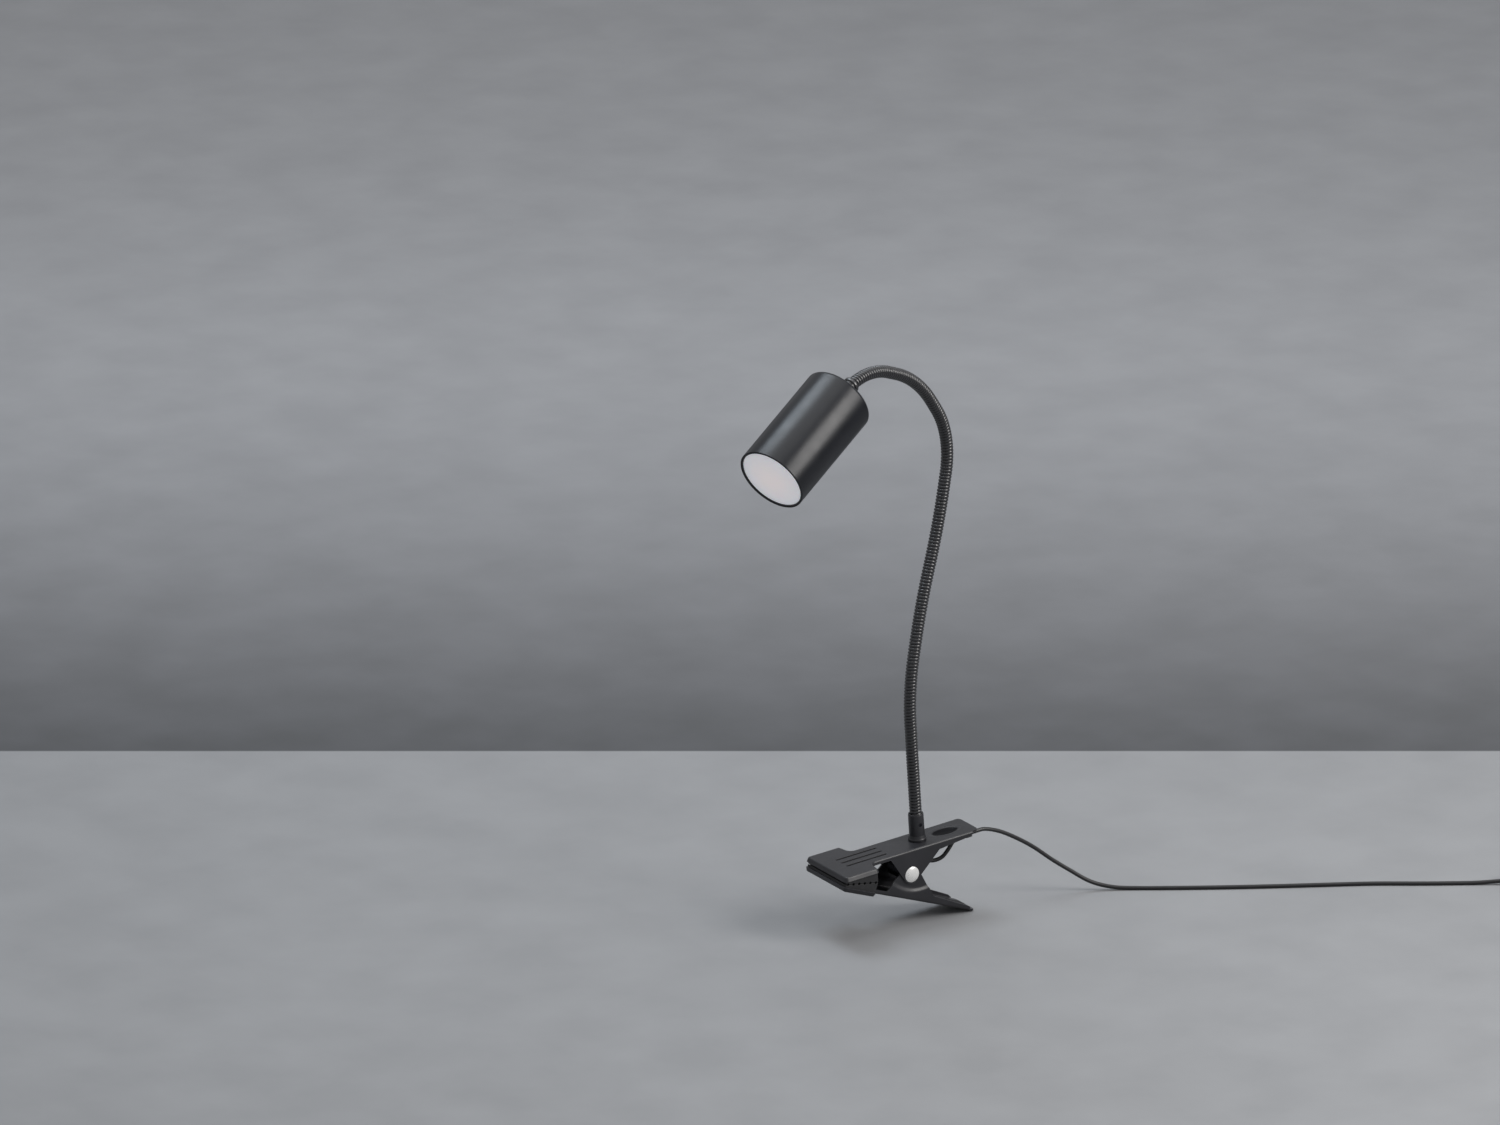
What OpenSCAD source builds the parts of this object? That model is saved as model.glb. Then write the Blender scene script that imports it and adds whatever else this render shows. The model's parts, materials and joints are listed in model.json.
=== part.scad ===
// Clip-on reading lamp: a sprung sheet-steel clamp, a flexible gooseneck and a cylindrical lamp head.
// Origin: middle of the jaw grip, on the plane where the two pads meet. +Z up, +X towards the handles.

/* [Clamp arms] */
// Length of the upper arm, from jaw front to handle end
arm_len = 125; // [115:1:140]
// Length of the lower arm, from jaw front to handle end
lower_len = 131; // [118:1:146]
// Width of each arm behind the jaw head
arm_w = 28; // [24:1:34]
// Width of the jaw head
jaw_w = 54; // [44:1:64]
// Depth of the jaw head, front to back
jaw_d = 30; // [24:1:34]
// Thickness of the sheet steel
sheet_t = 1.2; // [0.8:0.1:1.5]
// Height of the lips folded round the jaw head
lip_h = 3.2; // [2.4:0.2:4]
// Tilt of the upper arm above horizontal, degrees
upper_tilt = 4; // [0:1:8]
// Slope of the lower arm below horizontal, degrees
lower_tilt = 20; // [16:1:24]

/* [Pivot] */
// Distance of the pivot behind the jaw front
pivot_back = 65; // [60:1:70]
// Depth of the pivot inside each arm's outer face
pivot_drop = 19; // [17:1:21]
// Diameter of the pivot pin
pin_d = 4; // [3:0.5:5]
// Diameter of the pin's two formed heads
pin_head_d = 11.8; // [9:0.2:13]

/* [Torsion spring] */
// Wire diameter
spring_wire = 1.7; // [1.4:0.1:1.8]
// Mean radius of the coils
spring_r = 6; // [5:0.5:6.5]
// Number of full turns
spring_turns = 9; // [6:1:9]

/* [Gooseneck] */
// Outer diameter of the hose
hose_d = 9.2; // [8:0.2:10]
// Inner diameter of the hose
hose_bore = 5.2; // [4.4:0.2:5.6]
// Length of one hose section
hose_len = 63; // [50:1:70]
// Bend of each hose section towards the head, degrees
hose_bends = [0, -18, -7, 7, 50, 32, 49];
// Turn of the bending plane about the socket, degrees
hose_turn = 18.6; // [0:0.2:40]
// Distance of the gooseneck socket behind the jaw front
socket_x = 80; // [76:1:84]
// Height of the gooseneck socket
socket_h = 21; // [18:1:26]

/* [Lamp head] */
// Outer diameter of the shade
shade_d = 53; // [50:1:56]
// Length of the shade
shade_len = 89; // [86:1:100]
// Wall thickness of the shade
shade_t = 1; // [0.8:0.1:1.2]
// Corner radius at the closed end of the shade
shade_round = 3; // [2:0.5:4]

/* [Lead] */
// Diameter of the lead
lead_d = 3; // [2.6:0.1:3.2]
// Turns beside each other in the stored coil
coil_cols = 4; // [3:1:5]
// Turns on top of each other in the stored coil
coil_rows = 2; // [1:1:2]

/* [Hidden] */
$fn = 64;

gap = 0.3;                      // clearance between parts on different bodies
fit = 0.05;                     // radial clearance of a pin, screw or hose in its hole
half_arm = arm_w / 2;
half_jaw = jaw_w / 2;
straight = 5;                   // straight stretch at each end of a hose section
bent_len = hose_len - 2 * straight;
collar_t = 0.15;                // how far a collar stands proud of the hose, outside and in the bore
collar_lap = 1;                 // length of the bent stretch that a collar covers
half_angle = (upper_tilt + lower_tilt) / 2;
grip_tilt = (lower_tilt - upper_tilt) / 2;
pivot_reach = pivot_back - jaw_d / 2;
pivot = [pivot_reach * cos(grip_tilt), 0, -pivot_reach * sin(grip_tilt)];

// ---------- placing ----------

// Arm frame: x back from the jaw front, z = 0 on the outer face, material below
module on_upper_arm() {
    translate(pivot) rotate([0, -upper_tilt, 0]) translate([-pivot_back, 0, pivot_drop]) children();
}

module on_lower_arm() {
    translate(pivot) rotate([0, lower_tilt, 0]) mirror([0, 0, 1])
        translate([-pivot_back, 0, pivot_drop]) children();
}

module on_socket() {
    on_upper_arm() translate([socket_x, 0, 0]) children();
}

module both_sides() {
    children();
    mirror([0, 1, 0]) children();
}

// One hose section ahead, for a section that is straight at both ends and bends by b degrees between
module past_section(b) {
    translate([0, 0, straight]) past_bend(b) translate([0, 0, straight]) children();
}

module past_bend(b) {
    if (b == 0) {
        translate([0, 0, bent_len]) children();
    } else {
        r = bend_radius(b);
        translate([r * (1 - cos(b)), 0, r * sin(b)]) rotate([0, b, 0]) children();
    }
}

// Frame at the start of hose section k: z along the hose, x towards the inside of a forward bend
module at_section(k) {
    if (k == 0) {
        on_socket() translate([0, 0, socket_h]) rotate([0, 0, 180 + hose_turn]) children();
    } else {
        at_section(k - 1) past_section(hose_bends[k - 1]) children();
    }
}

module at_head() {
    at_section(len(hose_bends)) children();
}

// ---------- general shapes ----------

function bend_radius(b) = bent_len * 180 / (PI * b);

// Tube along one hose section, from start to end mm from the section's own two ends. The bent stretch
// is held at both ends by slightly thicker collars
module bent_tube(b, start, end, r_out, r_in) {
    if (b == 0) {
        translate([0, 0, start]) tube(r_out, r_in, hose_len - start - end);
    } else {
        r = abs(bend_radius(b));
        side = sign(b);
        translate([0, 0, start]) collar(r_out, r_in, straight + collar_lap - start);
        translate([side * r, 0, straight]) rotate([90, 0, 0]) rotate([0, 0, side > 0 ? 180 - b : 0])
            rotate_extrude(angle = abs(b)) translate([r, 0]) difference() {
                circle(r_out);
                if (r_in > 0) circle(r_in);
            }
        translate([0, 0, straight]) past_bend(b) translate([0, 0, -collar_lap])
            collar(r_out, r_in, straight + collar_lap - end);
    }
}

module collar(r_out, r_in, h) {
    tube(r_out + collar_t, max(r_in - collar_t, 0), h);
}

module tube(r_out, r_in, h) {
    if (r_in > 0) ring(r_out, r_in, h);
    else cylinder(r = r_out, h = h);
}

module ring(r_out, r_in, h) {
    difference() {
        cylinder(r = r_out, h = h);
        translate([0, 0, -1]) cylinder(r = r_in, h = h + 2);
    }
}

module hex_nut(across, r_in, h) {
    difference() {
        cylinder(r = across / 2 / cos(30), h = h, $fn = 6);
        translate([0, 0, -1]) cylinder(r = r_in, h = h + 2);
    }
}

module rounded_rect(x0, x1, half, r) {
    translate([x0 + r, -half]) square([x1 - x0 - 2 * r, 2 * half]);
    translate([x0, -half + r]) square([x1 - x0, 2 * half - 2 * r]);
    for (x = [x0 + r, x1 - r]) for (y = [-half + r, half - r]) translate([x, y]) circle(r);
}

function unit(v) = v / norm(v);

// Point on a circle (centre c, radius r) where the line from p touches it
function touch(p, c, r, side) =
    let (v = p - c, a = atan2(v[1], v[0]), w = acos(r / norm(v)))
    c + r * [cos(a + side * w), sin(a + side * w)];

// Smooth curve through hand-placed points, as n steps between each pair
function curve_at(p, i, t) =
    let (
        last = len(p) - 1,
        a = p[max(i - 1, 0)], b = p[i], c = p[i + 1], d = p[min(i + 2, last)]
    )
    0.5 * ((2 * b) + (c - a) * t + (2 * a - 5 * b + 4 * c - d) * t * t
        + (3 * b - a - 3 * c + d) * t * t * t);
function smooth_path(p, n) = concat(
    [for (i = [0:len(p) - 2]) for (j = [0:n - 1]) curve_at(p, i, j / n)],
    [p[len(p) - 1]]
);

// Sides of the ring at point i of a path: one vector across the path, one square to both
function heading(p, i) = unit(p[min(i + 1, len(p) - 1)] - p[max(i - 1, 0)]);
function across(t, up) = unit(cross(t, up));

module sweep(path, r, sides, up = [0.02, 0.03, 1]) {
    n = len(path);
    rings = [
        for (i = [0:n - 1])
            let (t = heading(path, i), u = across(t, up), v = cross(u, t))
            for (k = [0:sides - 1]) path[i] + r * (cos(360 * k / sides) * u + sin(360 * k / sides) * v)
    ];
    skin = [
        for (i = [0:n - 2]) for (k = [0:sides - 1])
            let (a = i * sides + k, b = i * sides + (k + 1) % sides)
            [a, b, b + sides, a + sides]
    ];
    ends = [
        [for (k = [sides - 1:-1:0]) k],
        [for (k = [0:sides - 1]) (n - 1) * sides + k]
    ];
    polyhedron(rings, concat(skin, ends), convexity = 8);
}

// ---------- clamp ----------

ear_front = 48;
ear_back = 90;
flange_h = 3.2;                 // flange height in front of the ear
flange_back_h = 6;              // flange height just behind the ear
flange_end_h = 3;               // flange height at the handle end
ear_r = 7;
corner_r = 5;
neck_fillet = 5;
groove_len = 33;
groove_x = 15;
groove_pitch = 7;

jaw_corner_r = 3;
flange_start = jaw_d + neck_fillet;

// Flat outline of an arm: the wide jaw head, two fillets and the straight arm
module arm_outline(length, inset = 0) {
    rounded_rect(inset, jaw_d - inset, half_jaw - inset, jaw_corner_r - inset);
    rounded_rect(jaw_d - 12, length, half_arm - inset, corner_r);
    both_sides() difference() {
        translate([jaw_d - inset - 1, half_arm - inset - 1]) square(neck_fillet + inset + 1);
        translate([jaw_d + neck_fillet, half_arm + neck_fillet]) circle(neck_fillet + inset);
    }
}

// Lip folded round the jaw head and on round its fillets to the flanges
module jaw_lips(length) {
    linear_extrude(lip_h) intersection() {
        difference() {
            arm_outline(length);
            arm_outline(length + corner_r, sheet_t);
        }
        translate([0, -half_jaw]) square([ear_front, jaw_w]);
    }
}

// Side view of one flange with its ear
module ear_profile(length) {
    c = [pivot_back, -pivot_drop];
    front = [ear_front, -flange_h];
    back = [ear_back, -flange_back_h];
    polygon([front, touch(front, c, ear_r, 1), c, touch(back, c, ear_r, -1), back]);
    translate(c) circle(ear_r);
    polygon([
        [flange_start, 0], [flange_start, -flange_h], front, back,
        [length - corner_r, -flange_end_h], [length - corner_r, 0]
    ]);
}

module flange_plate(y_out, length) {
    translate([0, y_out, 0]) rotate([90, 0, 0]) linear_extrude(sheet_t) difference() {
        ear_profile(length);
        translate([pivot_back, -pivot_drop]) circle(pin_d / 2 + fit);
    }
}

joggle_z = 6.5;                 // depth at which the lower arm's ears step inwards
joggle_in = sheet_t + gap;

// Dished finger rest pressed into the handle
rest_x = 104;
rest_len = 25;
rest_r = 6.8;
rest_depth = 0.7;

module finger_rest() {
    half = rest_len / 2 - rest_r;
    translate([rest_x, 0, rest_r - rest_depth]) {
        for (s = [-1, 1]) translate([s * half, 0, 0]) sphere(rest_r);
        translate([-half, 0, 0]) rotate([0, 90, 0]) cylinder(r = rest_r, h = 2 * half);
    }
}

module pressed_grooves() {
    for (k = [-1:1]) translate([groove_x, k * groove_pitch, 0.75]) rotate([0, 90, 0])
        cylinder(r = 1.1, h = groove_len);
}

module arm_blank(length, bend_ears) {
    difference() {
        union() {
            translate([0, 0, -sheet_t]) linear_extrude(sheet_t) arm_outline(length);
            translate([0, 0, -lip_h]) jaw_lips(length);
            both_sides() {
                if (bend_ears) {
                    intersection() {
                        flange_plate(half_arm, length);
                        translate([0, 0, -joggle_z]) cube([length, half_arm + 1, joggle_z + 1]);
                    }
                    intersection() {
                        flange_plate(half_arm - joggle_in, length);
                        translate([ear_front - 20, 0, -40]) cube([60, half_arm, 40 - joggle_z + sheet_t]);
                    }
                    intersection() {
                        translate([ear_front - 20, half_arm - joggle_in - sheet_t, -joggle_z])
                            cube([80, joggle_in + sheet_t, sheet_t]);
                        translate([0, half_arm + 1, 0]) rotate([90, 0, 0]) linear_extrude(half_arm)
                            ear_profile(length);
                    }
                } else {
                    flange_plate(half_arm, length);
                }
            }
        }
        pressed_grooves();
    }
}

module upper_arm() {
    color("#1d1d20") on_upper_arm() difference() {
        arm_blank(arm_len, false);
        translate([socket_x, 0, -sheet_t - 1]) cylinder(r = nipple_r + fit, h = sheet_t + 2);
        finger_rest();
    }
}

module lower_arm() {
    color("#1d1d20") on_lower_arm() difference() {
        arm_blank(lower_len, true);
        finger_rest();
    }
}

// Wedge-shaped rubber pad between the plate and the plane where the pads meet
pad_inset = 0.2;
tooth_pitch = 4.75;
tooth_depth = 0.9;

module pad() {
    x0 = sheet_t + pad_inset;
    x1 = jaw_d - sheet_t - pad_inset;
    half = half_jaw - sheet_t - pad_inset;
    k = tan(half_angle);
    function meet(x) = -pivot_drop + (pivot_back - x) * k + gap / 2 / cos(half_angle);
    difference() {
        translate([0, half, 0]) rotate([90, 0, 0]) linear_extrude(2 * half) polygon([
            [x0, -sheet_t], [x0, meet(x0)], [x1, meet(x1)], [x1, -sheet_t]
        ]);
        for (x = [x0 + 1.5:tooth_pitch:x1 - 1]) translate([x, half + 1, meet(x)]) rotate([90, 0, 0])
            linear_extrude(2 * half + 2) polygon([
                [-tooth_depth, -tooth_depth * 0.4], [0, tooth_depth], [tooth_depth, -tooth_depth * 1.0]
            ]);
    }
}

module upper_pad() {
    color("#141416") on_upper_arm() pad();
}

module lower_pad() {
    color("#141416") on_lower_arm() pad();
}

head_h = 1.5;                   // height of the pin's heads beyond the ears

module pivot_pin() {
    color("#d9d9dc") translate(pivot) rotate([90, 0, 0]) {
        translate([0, 0, -half_arm - head_h / 2]) cylinder(r = pin_d / 2, h = arm_w + head_h);
        both_ends() translate([0, 0, half_arm]) intersection() {
            cylinder(r = pin_head_d / 2, h = head_h);
            translate([0, 0, head_h - head_ball]) sphere(head_ball);
        }
    }
}

head_ball = pow(pin_head_d / 2, 2) / 2 / 1.1 + 1.1 / 2;

module both_ends() {
    children();
    mirror([0, 0, 1]) children();
}

spring_pitch = spring_wire + 0.1;
spring_half = spring_turns * spring_pitch / 2;
leg_y = spring_half + spring_wire / 2;  // distance of both legs from the middle of the arms
sleeve_r = 4.4;

module spring_sleeve() {
    color("#8d8f93") translate(pivot) rotate([90, 0, 0]) translate([0, 0, -spring_half])
        ring(sleeve_r, pin_d / 2 + fit, 2 * spring_half);
}

leg_reach = 31;                 // how far each spring leg reaches behind the pivot

// Height of a leg's tip above the pivot, measured in the arm's frame
leg_tip = pivot_drop - sheet_t - spring_wire / 2 - gap;

// Coil about the pivot pin; its fixed leg bears on the upper handle
module torsion_spring() {
    a0 = 90 + upper_tilt;
    steps = 16;
    total = spring_turns * 360 - 60;
    coil = [
        for (i = [0:steps * spring_turns - 2])
            let (a = total * i / (steps * spring_turns - 2))
            [
                spring_r * cos(a0 + a), leg_y - a / 360 * spring_pitch,
                spring_r * sin(a0 + a)
            ]
    ];
    leg = [
        for (t = [1, 0.5])
            [leg_reach * t * cos(upper_tilt) - leg_z(t) * sin(upper_tilt), leg_y,
             leg_reach * t * sin(upper_tilt) + leg_z(t) * cos(upper_tilt)]
    ];
    color("#2a2a2d") translate(pivot) sweep(concat(leg, coil), spring_wire / 2, 6, [0.01, 1, 0.02]);
}

function leg_z(t) = spring_r + (leg_tip - spring_r) * t;

// The spring's other leg, which swings with the lower arm
module spring_leg() {
    color("#2a2a2d") translate(pivot) rotate([0, lower_tilt, 0]) {
        translate([0, -leg_y, 0]) rotate([90, 0, 0]) rotate([0, 0, 180])
            rotate_extrude(angle = 90) translate([spring_r, 0]) circle(spring_wire / 2);
        translate([0, -leg_y, -spring_r]) rotate([0, 90 + atan2(leg_tip - spring_r, leg_reach), 0])
            cylinder(r = spring_wire / 2, h = norm([leg_reach, leg_tip - spring_r]));
    }
}

// ---------- gooseneck socket ----------

nipple_r = 4;
socket_floor = 8;               // height of the hose's end inside the socket
socket_r = 5.7;
socket_base_r = 6.5;
screw_h = 13;

module socket() {
    color("#1b1b1e") on_socket() difference() {
        rotate_extrude() polygon([
            [0, 0], [socket_base_r, 0], [socket_base_r, 2.4], [socket_base_r - 0.4, 3],
            [socket_base_r - 0.4, 3.4], [socket_r + 0.3, 4], [socket_r, socket_h - 0.4],
            [socket_r - 0.4, socket_h], [0, socket_h]
        ]);
        translate([0, 0, -1]) cylinder(r = nipple_r + fit, h = socket_floor);
        translate([0, 0, -1]) cylinder(r = hose_bore / 2, h = socket_h);
        translate([0, 0, socket_floor]) cylinder(r = hose_d / 2 + fit, h = socket_h);
        translate([0, 0, screw_h]) rotate([90, 0, 0]) cylinder(r = 1.5 + fit, h = 10);
    }
}

module set_screw() {
    color("#2b2b2e") on_socket() translate([0, -hose_d / 2 - fit, screw_h]) rotate([90, 0, 0])
        difference() {
            cylinder(r = 1.5, h = 0.9);
            translate([0, 0, 0.4]) cylinder(r = 0.85, h = 2, $fn = 6);
        }
}

module socket_nipple() {
    color("#b7b9bd") on_socket() translate([0, 0, -8]) ring(nipple_r, hose_bore / 2, 8 + socket_floor - 1.2);
}

module socket_washer() {
    color("#b7b9bd") on_socket() translate([0, 0, -sheet_t - 0.8]) difference() {
        ring(6.6, nipple_r + fit, 0.8);
        for (a = [0:30:330]) rotate([0, 0, a]) translate([5.6, -0.4, -1]) cube([2, 0.8, 3]);
    }
}

module socket_nut() {
    color("#b7b9bd") on_socket() translate([0, 0, -sheet_t - 0.8 - 4]) hex_nut(12, nipple_r + fit, 4);
}

// ---------- gooseneck ----------

ball_r = 3.9;                   // ball that guides the next section
shoulder = 1.7;                 // room below each joint for the next section's rim
ball_root = 0.9;                // depth of the ball inside its own section's end
wire_gap = 0.35;
wire_r = 1.2;
last = len(hose_bends) - 1;

// A ball at the end of each section but the last sits in a cup at the start of the next
module hose(k) {
    start = k == 0 ? socket_floor - socket_h : 0;
    end = k == last ? 2 : shoulder;
    color("#222225") at_section(k) difference() {
        union() {
            bent_tube(hose_bends[k], start, end, hose_d / 2, hose_bore / 2);
            if (k < last) past_section(hose_bends[k]) difference() {
                intersection() {
                    sphere(ball_r);
                    translate([0, 0, -shoulder - ball_root]) cylinder(r = hose_d, h = 10);
                }
                translate([0, 0, -shoulder - 2]) cylinder(r = hose_bore / 2, h = 20);
            }
        }
        if (k > 0) sphere(ball_r + gap);
    }
}

module wire(k) {
    start = k == 0 ? -socket_h - 8 : wire_gap;
    color("#b0483c") at_section(k) bent_tube(hose_bends[k], start, k == last ? 0 : wire_gap, wire_r, 0);
}

// ---------- lamp head ----------

shade_r = shade_d / 2;
head_nipple_r = 5.5;
collar_r = 6.2;
collar_h = 5;
rear_wall = 1.2;
sink_z = 60;                    // back of the heat sink's mounting plate
sink_t = 4;
board_z = sink_z + sink_t;
board_t = 1.6;
diffuser_z = 84.5;
diffuser_t = 2;
lens_r = 23.9;                  // radius of the visible part of the diffuser
driver_z = 22;
post_ring = 17;

module head_nipple() {
    color("#1b1b1e") at_head() difference() {
        union() {
            translate([0, 0, -collar_h]) cylinder(r1 = collar_r - 0.5, r2 = collar_r, h = 1.2);
            translate([0, 0, -collar_h + 1.2]) cylinder(r = collar_r, h = collar_h - 1.2);
            cylinder(r = head_nipple_r, h = 12);
        }
        translate([0, 0, -collar_h - 1]) cylinder(r = hose_d / 2 + gap, h = collar_h - 0.5);
        translate([0, 0, -collar_h - 1]) cylinder(r = 2.9, h = 30);
    }
}

module head_washer() {
    color("#b7b9bd") at_head() translate([0, 0, rear_wall]) ring(9, head_nipple_r + fit, 1);
}

module head_nut() {
    color("#b7b9bd") at_head() translate([0, 0, rear_wall + 1]) hex_nut(15, head_nipple_r + fit, 4);
}

// Drawn can: rounded closed end with a hole for the nipple, open at the light
module shade() {
    r_in = shade_r - shade_t;
    color("#2c2d31") at_head() rotate_extrude($fn = 96) difference() {
        union() {
            translate([0, shade_round]) square([shade_r, shade_len - shade_round - 0.4]);
            square([shade_r - shade_round, shade_round + 1]);
            translate([shade_r - shade_round, shade_round]) circle(shade_round);
            translate([shade_r - 2, shade_len - 3]) square([1.6, 3]);
        }
        translate([-1, -1]) square([head_nipple_r + fit + 1, 10]);
        translate([-1, rear_wall]) square([r_in - shade_round + shade_t + 1, shade_round]);
        translate([-1, shade_round]) square([r_in + 1, shade_len]);
        translate([-shade_r - 1, -1]) square([shade_r + 1, shade_len + 2]);
    }
}

module front_ring() {
    color("#19191b") at_head() rotate_extrude($fn = 96) polygon([
        [lens_r, diffuser_z + diffuser_t], [shade_r - shade_t - fit, diffuser_z + diffuser_t],
        [shade_r - shade_t - fit, shade_len - 0.3], [lens_r + 0.5, shade_len - 0.3],
        [lens_r, shade_len - 0.8]
    ]);
}

module diffuser() {
    color("#f4f1f1") at_head() translate([0, 0, diffuser_z]) cylinder(r = shade_r - shade_t - 0.3, h = diffuser_t);
}

module reflector() {
    wall = 1;
    r0 = 15.5;
    r1 = 23.6;
    color("#f7f7f7") at_head() rotate_extrude($fn = 96) polygon([
        [r0, board_z], [r0 + 2.6, board_z], [r0 + 2.6, board_z + wall], [r0 + wall, board_z + wall],
        [r1 + wall, diffuser_z - wall], [shade_r - shade_t - 0.3, diffuser_z - wall],
        [shade_r - shade_t - 0.3, diffuser_z], [r1, diffuser_z], [r0, board_z + wall]
    ]);
}

module led_board() {
    color("#f2f2ee") at_head() translate([0, 0, board_z]) difference() {
        cylinder(r = 15.2, h = board_t);
        for (a = [0, 180]) rotate([0, 0, a]) translate([12, 0, -1]) cylinder(r = 1.6, h = 5);
        for (a = [90, 270]) rotate([0, 0, a]) translate([12, 0, -1]) cylinder(r = 1.6, h = 5);
    }
}

module led_chips() {
    color("#ffd75e") at_head() translate([0, 0, board_z + board_t]) {
        for (a = [22.5:45:359]) rotate([0, 0, a]) translate([7, -1.4, 0]) cube([2.8, 2.8, 0.8]);
        translate([-1.4, -1.4, 0]) cube([2.8, 2.8, 0.8]);
    }
}

module led_screws() {
    color("#c9cacd") at_head() for (a = [0, 180]) rotate([0, 0, a]) translate([12, 0, board_z]) {
        translate([0, 0, board_t]) cylinder(r = 2.6, h = 1.4);
        translate([0, 0, -3]) cylinder(r = 1.5, h = board_t + 3.2);
    }
}

module heat_sink() {
    color("#c2c4c8") at_head() difference() {
        union() {
            translate([0, 0, sink_z]) cylinder(r = shade_r - shade_t - fit, h = sink_t);
            translate([0, 0, 34]) cylinder(r = 9, h = sink_z - 34 + 1);
            for (a = [15:30:345]) rotate([0, 0, a]) translate([8, -0.7, 34]) cube([16, 1.4, sink_z - 33]);
            for (a = [0, 120, 240]) rotate([0, 0, a]) translate([post_ring, 0, driver_z + board_t])
                cylinder(r = 2.4, h = sink_z - driver_z - board_t + 1);
        }
        for (a = [0, 180]) rotate([0, 0, a]) translate([12, 0, board_z - 3.6]) cylinder(r = 1.5 + fit, h = 8);
        translate([0, 12, 30]) cylinder(r = 1.6, h = 40);
        for (a = [0, 120, 240]) rotate([0, 0, a]) translate([post_ring, 0, driver_z]) cylinder(r = 1 + fit, h = 9);
    }
}

module driver_board() {
    color("#2f6b46") at_head() translate([0, 0, driver_z]) difference() {
        cylinder(r = 21, h = board_t);
        for (a = [0, 120, 240]) rotate([0, 0, a]) translate([post_ring, 0, -1]) cylinder(r = 1 + fit, h = 5);
        translate([0, 12, -1]) cylinder(r = 1.6, h = 5);
    }
}

module driver_parts() {
    color("#232323") at_head() {
        translate([0, 0, driver_z + board_t]) {
            translate([-9, -4, 0]) cylinder(r = 3.6, h = 7);
            translate([2, -13, 0]) cube([7, 6, 3.2]);
            translate([-3, 2, 0]) cube([5, 4, 1.6]);
        }
        translate([-12, 4, driver_z - 4]) cylinder(r = 2.6, h = 4);
        translate([4, -6, driver_z - 2.4]) cube([6, 6, 2.4]);
    }
}

module driver_screws() {
    color("#c9cacd") at_head() for (a = [0, 120, 240]) rotate([0, 0, a])
        translate([post_ring, 0, driver_z]) {
            translate([0, 0, -1.2]) cylinder(r = 1.9, h = 1.2);
            cylinder(r = 1, h = 8);
        }
}

// Lead from the hose to the driver board, and from the driver to the light board
module head_wires() {
    supply = [
        [0, 0, 0.2], [0, 0, 6], [0, 0, 12], [-1.4, -5, 16], [-3, -11, 17], [-3, -13, 19.6], [-3, -13, driver_z]
    ];
    color("#b0483c") at_head() {
        sweep(smooth_path(supply, 4), wire_r * 0.8, 8, [1, 0.03, 0.02]);
        translate([0, 12, driver_z + board_t]) cylinder(r = 1, h = board_z - driver_z);
    }
}

// ---------- lead ----------

lead_r = lead_d / 2;
lead_y = -9;                    // the lead runs along the near side of the handle
lead_z = -sheet_t - 0.4 - lead_r;
floor_z = -47.5;                // surface that the lamp's lead lies on
lead_floor = floor_z + lead_r;

// Route from the socket's nut, in a drooping bow under the handle, to the handle's end
inner_route = [
    [socket_x, 0, -8.2], [socket_x + 0.5, -0.3, -12], [84, -2, -16.2], [90, -4, -18.2], [96, -6, -16.8],
    [100, -7.6, -12.6], [103, -8.8, -8], [106, -9, -4.6], [109, -9, lead_z - 0.2], [112, -9, lead_z],
    [115, -9, lead_z], [120, -9, lead_z], [arm_len, -9, lead_z]
];

module inner_lead() {
    color("#17171a") on_upper_arm() sweep(smooth_path(inner_route, 4), lead_r, 8, [0.05, 1, 0.02]);
}

// Moulded clip bonded under the handle that holds the lead
module lead_clip() {
    w = 5;
    x0 = 115;
    y1 = lead_y - lead_r;
    color("#2b2b2e") on_upper_arm() difference() {
        union() {
            translate([x0, y1 - 1, -sheet_t - 4]) cube([w, lead_d + 2, 4]);
            translate([x0, y1 - 1, -sheet_t - 0.8]) cube([w, 12, 0.8]);
        }
        translate([x0 - 1, lead_y, lead_z]) rotate([0, 90, 0]) cylinder(r = lead_r + fit, h = w + 2);
    }
}

lead_exit = pivot
    + (arm_len - pivot_back) * [cos(upper_tilt), 0, sin(upper_tilt)]
    + (pivot_drop + lead_z) * [-sin(upper_tilt), 0, cos(upper_tilt)]
    + [0, lead_y, 0];
lead_route = [
    lead_exit, [116, -9, 13.1], [128, -9.5, 9.2], [142, -10.5, 1.6], [157, -12, -8.5],
    [171, -15, -20], [185, -19, -30.5], [199, -24.5, -40.2], [213, -32, -44.9], [228, -41, lead_floor],
    [247, -53, lead_floor], [270, -67, lead_floor], [296, -82, lead_floor], [323, -97, lead_floor],
    [351, -112, lead_floor], [380, -128, lead_floor], [408, -146, lead_floor], [436, -163, lead_floor],
    [450, -171.5, lead_floor + 0.6], [464, -180, lead_floor + 2]
];

module lead_1() {
    color("#17171a") sweep(smooth_path(lead_route, 4), lead_r, 8);
}

// Rocker switch on the lead; its frame starts at the end of the lamp-side lead
switch_at = [464, -180, floor_z];
switch_turn = -31.3;
switch_len = 46;
switch_w = 16;
switch_h = 10;
switch_split = 4.5;             // height of the joint between base and cover
switch_wall = 1.5;
switch_bore_z = lead_r + 2;
rocker_x = 23;
rocker_len = 12.2;
rocker_w = 7.6;
rocker_z = 7.2;                 // height of the rocker's axis
rocker_throw = 6;               // half of the rocker's swing, degrees
screw_x = [8.5, 37.5];

module at_switch() {
    translate(switch_at) rotate([0, 0, switch_turn]) children();
}

module switch_outline(inset) {
    rounded_rect(inset, switch_len - inset, switch_w / 2 - inset, 5 - inset);
}

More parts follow.
